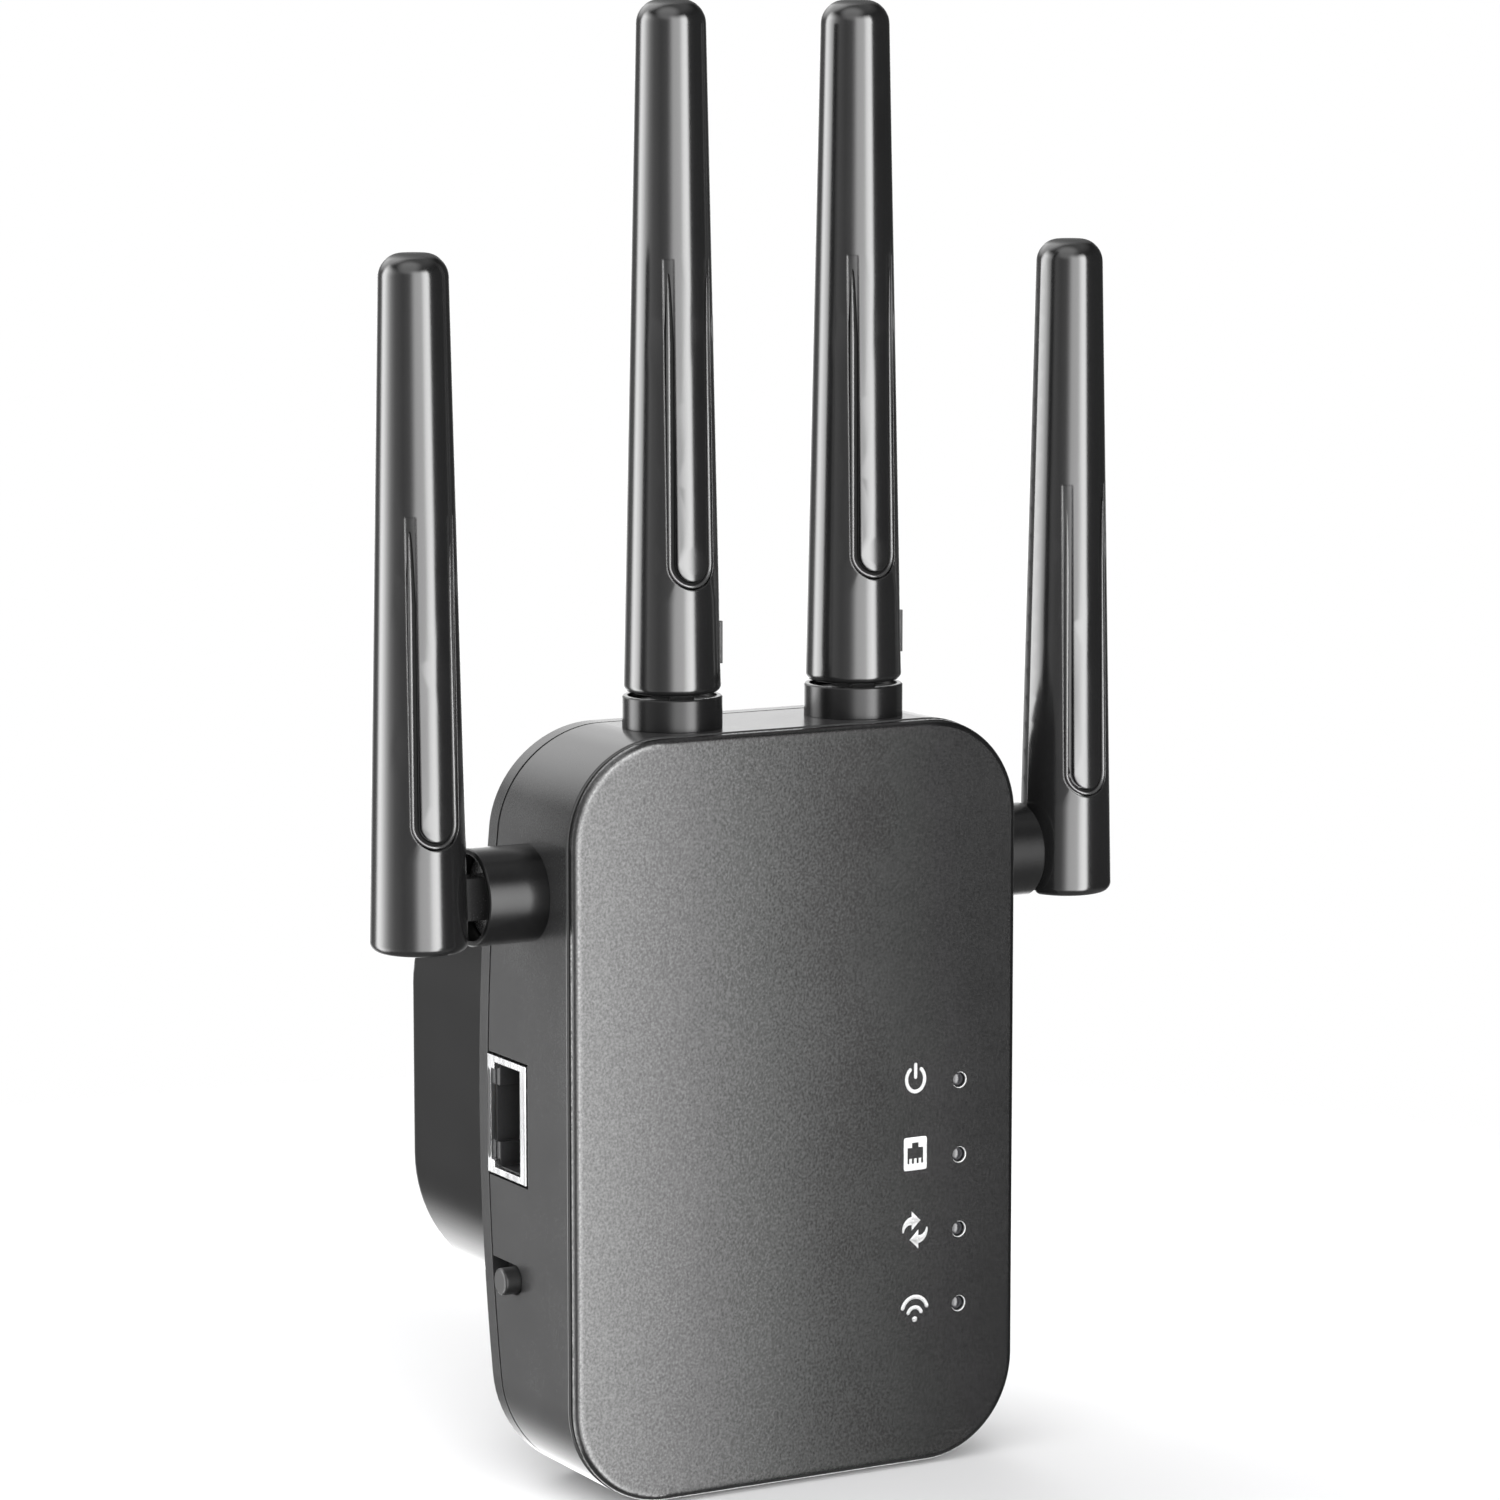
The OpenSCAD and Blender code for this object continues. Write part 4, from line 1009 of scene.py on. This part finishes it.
@dataclass(frozen=True)
class Track:
    """The groove round a finger panel: a U on a tapered sheath's front that runs out upwards.

    Attributes:
        half: Half the width of the U at the middle of the groove, and at the bead.
        turn: Height of the middle of its round end above the base.
        top: Height at which the pieces in it end.
        floor: Radius of the floor at the height of the round end and at the run-out.
        outside: Radius of the sheath at the same two heights.
        span: Those two heights.
        bed_half: Half the width of the dark sheet of painted shade on the floor.
        bead_half: Half the width of the bead.
        share: Height of the bead as a share of the groove's depth.
    """

    half: Pair = (2.35 * MM, 2.44 * MM)
    turn: float = 14.55 * MM
    top: float = 46.5 * MM
    floor: Pair = (4.715 * MM, 4.364 * MM)
    outside: Pair = (5.215 * MM, 4.424 * MM)
    span: Pair = (11.7 * MM, 48.0 * MM)
    bed_half: float = 0.48 * MM
    bead_half: float = 0.24 * MM
    share: float = 0.85

    def path(self, half: float) -> Array:
        """Gives a U: down one side, half a turn, and up the other.

        Args:
            half: Half the width of the U.

        Returns:
            Points of sideways distance and height.
        """
        rise = self.turn + (self.top - self.turn) * eased(GROOVE_STEPS)
        side = np.full_like(rise, half)
        angle = np.linspace(math.pi, 2 * math.pi, GROOVE_STEPS)[1:-1]
        bend = np.stack([half * np.cos(angle), self.turn + half * np.sin(angle)], axis=1)
        return np.concatenate([
            np.stack([-side, rise], axis=1)[::-1], bend, np.stack([side, rise], axis=1)])

    def swept(
            self, base: Vector, path: Array, half: float, share: float, least: float) -> Grid:
        """Carries a low half-round section along a U on the groove's floor.

        A point at sideways distance t on a floor of radius r stands at the angle asin(t / r) from
        the front, and the section rises from there along the radius.

        Args:
            base: Middle of the sheath's base.
            path: The U.
            half: Half the section's width.
            share: Its height as a share of the groove's depth.
            least: Its least height.

        Returns:
            The closed strip, which tapers to a point at both ends.
        """
        taper = np.sqrt(np.clip((self.top - path[:, 1]) / GROOVE_TAPER, 0.0, 1.0))
        turn = round_angles(SECTION_SIDES)
        out = half * np.outer(taper, np.cos(turn))
        flat = path[:, None, :] + sideways(path)[:, None, :] * out[..., None]
        floor = np.interp(flat[..., 1], self.span, self.floor)
        depth = np.interp(flat[..., 1], self.span, self.outside) - floor
        rise = np.where(np.sin(turn) > 0, share * depth + least, GROOVE_ROOT) * np.sin(turn)
        radius = floor + rise * taper[:, None]
        angle = np.arcsin(flat[..., 0] / floor)
        x, y = base.x + radius * np.sin(angle), base.y - radius * np.cos(angle)
        return Grid(np.stack([x, y, base.z + flat[..., 1]], axis=-1))

    def bed(self, base: Vector) -> Grid:
        """Shapes the dark sheet that covers the floor: painted shade in the groove."""
        return self.swept(base, self.path(self.half[0]), self.bed_half, 0.0, PAINTED_SHADE_SHEET_RISE)

    def bead(self, base: Vector) -> Grid:
        """Shapes the bead that stands on the dark sheet of painted shade."""
        return self.swept(base, self.path(self.half[1]), self.bead_half, self.share, 0.0)


@dataclass
class Antenna:
    """One antenna with its collar and hinge.

    Attributes:
        corner: Which of the four it is.
        finishes: Finish of each of its parts.
        track: The groove round its finger panel.
    """

    corner: Corner
    finishes: dict[str, Finish] = field(default_factory=lambda: {
        "collar": Finish.COLLAR, "knuckle": Finish.HINGE, "hinge_pin": Finish.HINGE,
        "sheath": Finish.ANTENNA, "radiator": Finish.GOLD})
    track: Track = Track()

    def dress(self) -> None:
        """Gives the antenna's solids their finishes."""
        for part, finish in self.finishes.items():
            dress(part + "_" + self.corner.value, finish)

    def build(self) -> None:
        """Builds the groove's dark sheet of painted shade and the bead on it, and sets them on the
        antenna.
        """
        name = self.corner.value
        low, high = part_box("sheath_" + name)
        base = Vector(((low.x + high.x) / 2, self.corner.axis_y, low.z))
        bed = mesh_piece("bed_" + name, self.track.bed(base))
        settle(bed, "antenna_" + name, Finish.BED)
        bead = mesh_piece("bead_" + name, self.track.bead(base))
        settle(bead, "antenna_" + name, Finish.BEAD)


# Studio


@dataclass(frozen=True)
class Lamp:
    """A round soft lamp far away.

    Attributes:
        turn: Azimuth of its middle in degrees, from the front to the viewer's right.
        lift: Elevation of its middle, in degrees.
        strength: Brightness at its middle.
        edge: Cosines from its middle between which its edge fades in.
    """

    turn: float
    lift: float
    strength: float
    edge: Pair

    def light(self, graph: Graph, direction: Socket) -> Socket:
        """Gives the lamp's brightness in a direction: a ramp over the cosine from its middle.

        Args:
            graph: The world's nodes.
            direction: The direction.

        Returns:
            The brightness.
        """
        turn, lift = math.radians(self.turn), math.radians(self.lift)
        flat = math.cos(lift)
        middle = (math.sin(turn) * flat, -math.cos(turn) * flat, math.sin(lift))
        near = graph.vector_math("DOT_PRODUCT", "Value", direction, middle)
        return graph.remap(near, *self.edge, 0.0, self.strength)


@dataclass(frozen=True)
class Surround:
    """The studio round the object: a ring of soft boxes at eye level under an overhead light.

    Attributes:
        ring: Brightness of the ring by azimuth in degrees, counted as for a lamp.
        reach: Elevations between which the ring is full, and the width of its fade.
        bands: Elevations between which the overhead light and the floor's come in, and brightness.
        lamps: The round soft lamps.
        white: Brightness of the background that the camera sees.
    """

    ring: tuple[Pair, ...] = (
        (-180.0, 0.3), (-165.0, 0.25), (-152.0, 0.35), (-147.0, 0.8), (-141.0, 5.5),
        (-135.0, 8.5), (-123.0, 7.5), (-111.0, 4.2), (-98.0, 1.8), (-84.0, 0.8), (-60.0, 0.4),
        (-40.0, 0.6), (-32.0, 1.6), (-22.0, 4.6), (0.0, 5.2), (8.0, 9.5), (19.5, 11.5),
        (25.0, 10.0), (27.0, 6.8), (28.8, 1.6), (30.0, 0.15), (40.0, 0.05), (120.0, 0.05),
        (138.0, 0.2), (146.0, 1.5), (160.0, 1.5), (170.0, 0.4), (180.0, 0.35))
    reach: tuple[float, float, float] = (-28.0, 22.0, 18.0)
    bands: tuple[tuple[Pair, float], ...] = (((38.0, 60.0), 0.5), ((-20.0, -40.0), 0.3))
    lamps: tuple[Lamp, ...] = (
        Lamp(-170.0, 45.0, 2.3, (0.8, 0.96)), Lamp(-45.0, 52.0, 1.5, (0.8, 0.95)),
        Lamp(160.0, -24.0, 1.7, (0.84, 0.96)))
    white: float = 1.0

    def build(self) -> None:
        """Builds the world: the ring's ramp times its fade, plus the other lights."""
        world = bpy.data.worlds.new("surround")
        bpy.context.scene.world = world
        world.use_nodes = True
        graph = Graph(world.node_tree)
        direction = graph.add("ShaderNodeTexCoord").outputs["Generated"]
        way = graph.add("ShaderNodeSeparateXYZ", {0: direction}).outputs
        toward = graph.math("MULTIPLY", way["Y"], -1.0)
        azimuth = graph.math("DEGREES", graph.math("ARCTAN2", way["X"], toward))
        lift = graph.math("DEGREES", graph.math("ARCSINE", way["Z"]))
        low, high, fade = self.reach
        from_low = graph.remap(lift, low - fade, low)
        to_high = graph.remap(lift, high, high + fade, 1.0, 0.0)
        inside = graph.math("MULTIPLY", from_low, to_high)
        lit = graph.math("MULTIPLY", self.ramp(graph, azimuth), inside)
        for more in (
                *(graph.remap(lift, *ends, 0.0, value) for ends, value in self.bands),
                *(lamp.light(graph, direction) for lamp in self.lamps)):
            lit = graph.math("ADD", lit, more)
        path = graph.add("ShaderNodeLightPath").outputs
        seen = graph.math("MAXIMUM", path["Is Camera Ray"], path["Is Transmission Ray"])
        strength = graph.between(seen, lit, self.white)
        inputs = {"Color": rgba((1.0, 1.0, 1.0)), "Strength": strength}
        back = graph.add("ShaderNodeBackground", inputs)
        graph.add("ShaderNodeOutputWorld", {"Surface": back.outputs[0]})

    def ramp(self, graph: Graph, azimuth: Socket) -> Socket:
        """Gives the ring's brightness at an azimuth, straight between its stops.

        Args:
            graph: The world's nodes.
            azimuth: The azimuth in degrees.

        Returns:
            The brightness.
        """
        most = max(value for _, value in self.ring)
        ramp = graph.add("ShaderNodeValToRGB", {0: graph.remap(azimuth, -180.0, 180.0)})
        stops = ramp.color_ramp.elements
        while len(stops) < len(self.ring):
            stops.new(0.5)
        for stop, (angle, value) in zip(stops, self.ring):
            stop.position = (angle + 180.0) / 360.0
            stop.color = rgba((1.0, 1.0, 1.0), value / most)
        return graph.math("MULTIPLY", ramp.outputs["Color"], most)


@dataclass(frozen=True)
class PaleFloor(Surface):
    """A matte floor that keeps the object's shadow and fades out into the background.

    Attributes:
        light: Colour of its lighter patches.
        patch: Size of those, in patches per metre.
        fade: Distances from the middle between which it gives way to the background.
    """

    light: Colour = (0.9, 0.9, 0.905)
    patch: float = 4.0
    fade: Pair = (0.09, 0.2)

    def inputs(self, graph: Graph) -> dict[str, Any]:
        """Adds the nodes of the floor's colour, and returns the matte shader's inputs."""
        tone = graph.effect(Effect.BROAD_TONE, {"Scale": self.patch})["Tone"]
        return {
            "Base Color": graph.blend(tone, rgba(self.colour), rgba(self.light)),
            "Roughness": self.roughness[0]}

    def shader(self, graph: Graph) -> Socket:
        """Mixes the matte shader with clear by the distance from the middle.

        Args:
            graph: The material's nodes.

        Returns:
            The shader's output.
        """
        matte = super().shader(graph)
        x, y = graph.coordinate("Object", "X"), graph.coordinate("Object", "Y")
        flat = graph.add("ShaderNodeCombineXYZ", {0: x, 1: y})
        away = graph.vector_math("LENGTH", "Value", flat.outputs[0])
        clear = graph.add("ShaderNodeBsdfTransparent")
        inputs = {0: graph.remap(away, *self.fade), 1: matte, 2: clear.outputs[0]}
        return graph.add("ShaderNodeMixShader", inputs).outputs[0]


SENSOR = 36.0  # Width of the camera's sensor in millimetres.
CLIP = (0.01, 50.0)  # Nearest and furthest distance that the camera sees.
FLOOR_STEPS = 9
FLOOR = PaleFloor((0.86, 0.86, 0.865), (0.9, 0.9))


@dataclass
class Studio:
    """A pale floor, the lit surround and the camera.

    Attributes:
        eye: Place of the camera.
        target: Point that the camera looks at.
        lens: Focal length in millimetres.
        floor_z: Height of the floor.
        floor_size: Half the floor's width.
    """

    eye: Vector = field(default_factory=lambda: Vector((-0.28103, -0.53571, 0.11836)))
    target: Vector = field(default_factory=lambda: Vector((-0.006415, -0.04337, 0.04104)))
    lens: float = 123.62
    floor_z: float = -43.4 * MM
    floor_size: float = 0.4

    def build(self) -> None:
        """Builds the camera, the floor and the surround."""
        self.camera()
        self.floor()
        Surround().build()
        bpy.context.scene.view_settings.view_transform = "Standard"

    def camera(self) -> None:
        """Sets up the camera at the photograph's viewing angle."""
        data = bpy.data.cameras.new("camera")
        data.lens, data.sensor_width = self.lens, SENSOR
        data.clip_start, data.clip_end = CLIP
        camera = bpy.data.objects.new("camera", data)
        camera.location = self.eye
        camera.rotation_euler = (self.target - self.eye).to_track_quat("-Z", "Y").to_euler()
        bpy.context.scene.collection.objects.link(camera)
        bpy.context.scene.camera = camera

    def floor(self) -> None:
        """Lays the flat floor, which the object doesn't mirror."""
        side = np.linspace(-self.floor_size, self.floor_size, FLOOR_STEPS)
        x, y = np.meshgrid(side, side, indexing="ij")
        points = np.stack([x, y, np.full_like(x, self.floor_z)], axis=-1)
        floor = mesh_piece("floor", Grid(points, close_columns=False))
        floor.data.materials.append(FLOOR.material("pale_floor"))
        floor.visible_glossy = False


def main() -> None:
    """Builds the pieces in order."""
    logging.basicConfig(level=logging.INFO, format="%(name)s: %(message)s")
    Housing().dress()
    Plug().dress()
    socket = NetworkSocket()
    socket.dress()
    socket.build()
    Electronics().dress()
    for corner in Corner:
        antenna = Antenna(corner)
        antenna.dress()
        antenna.build()
    StatusRow().build()
    Studio().build()


if __name__ == "__main__":
    main()
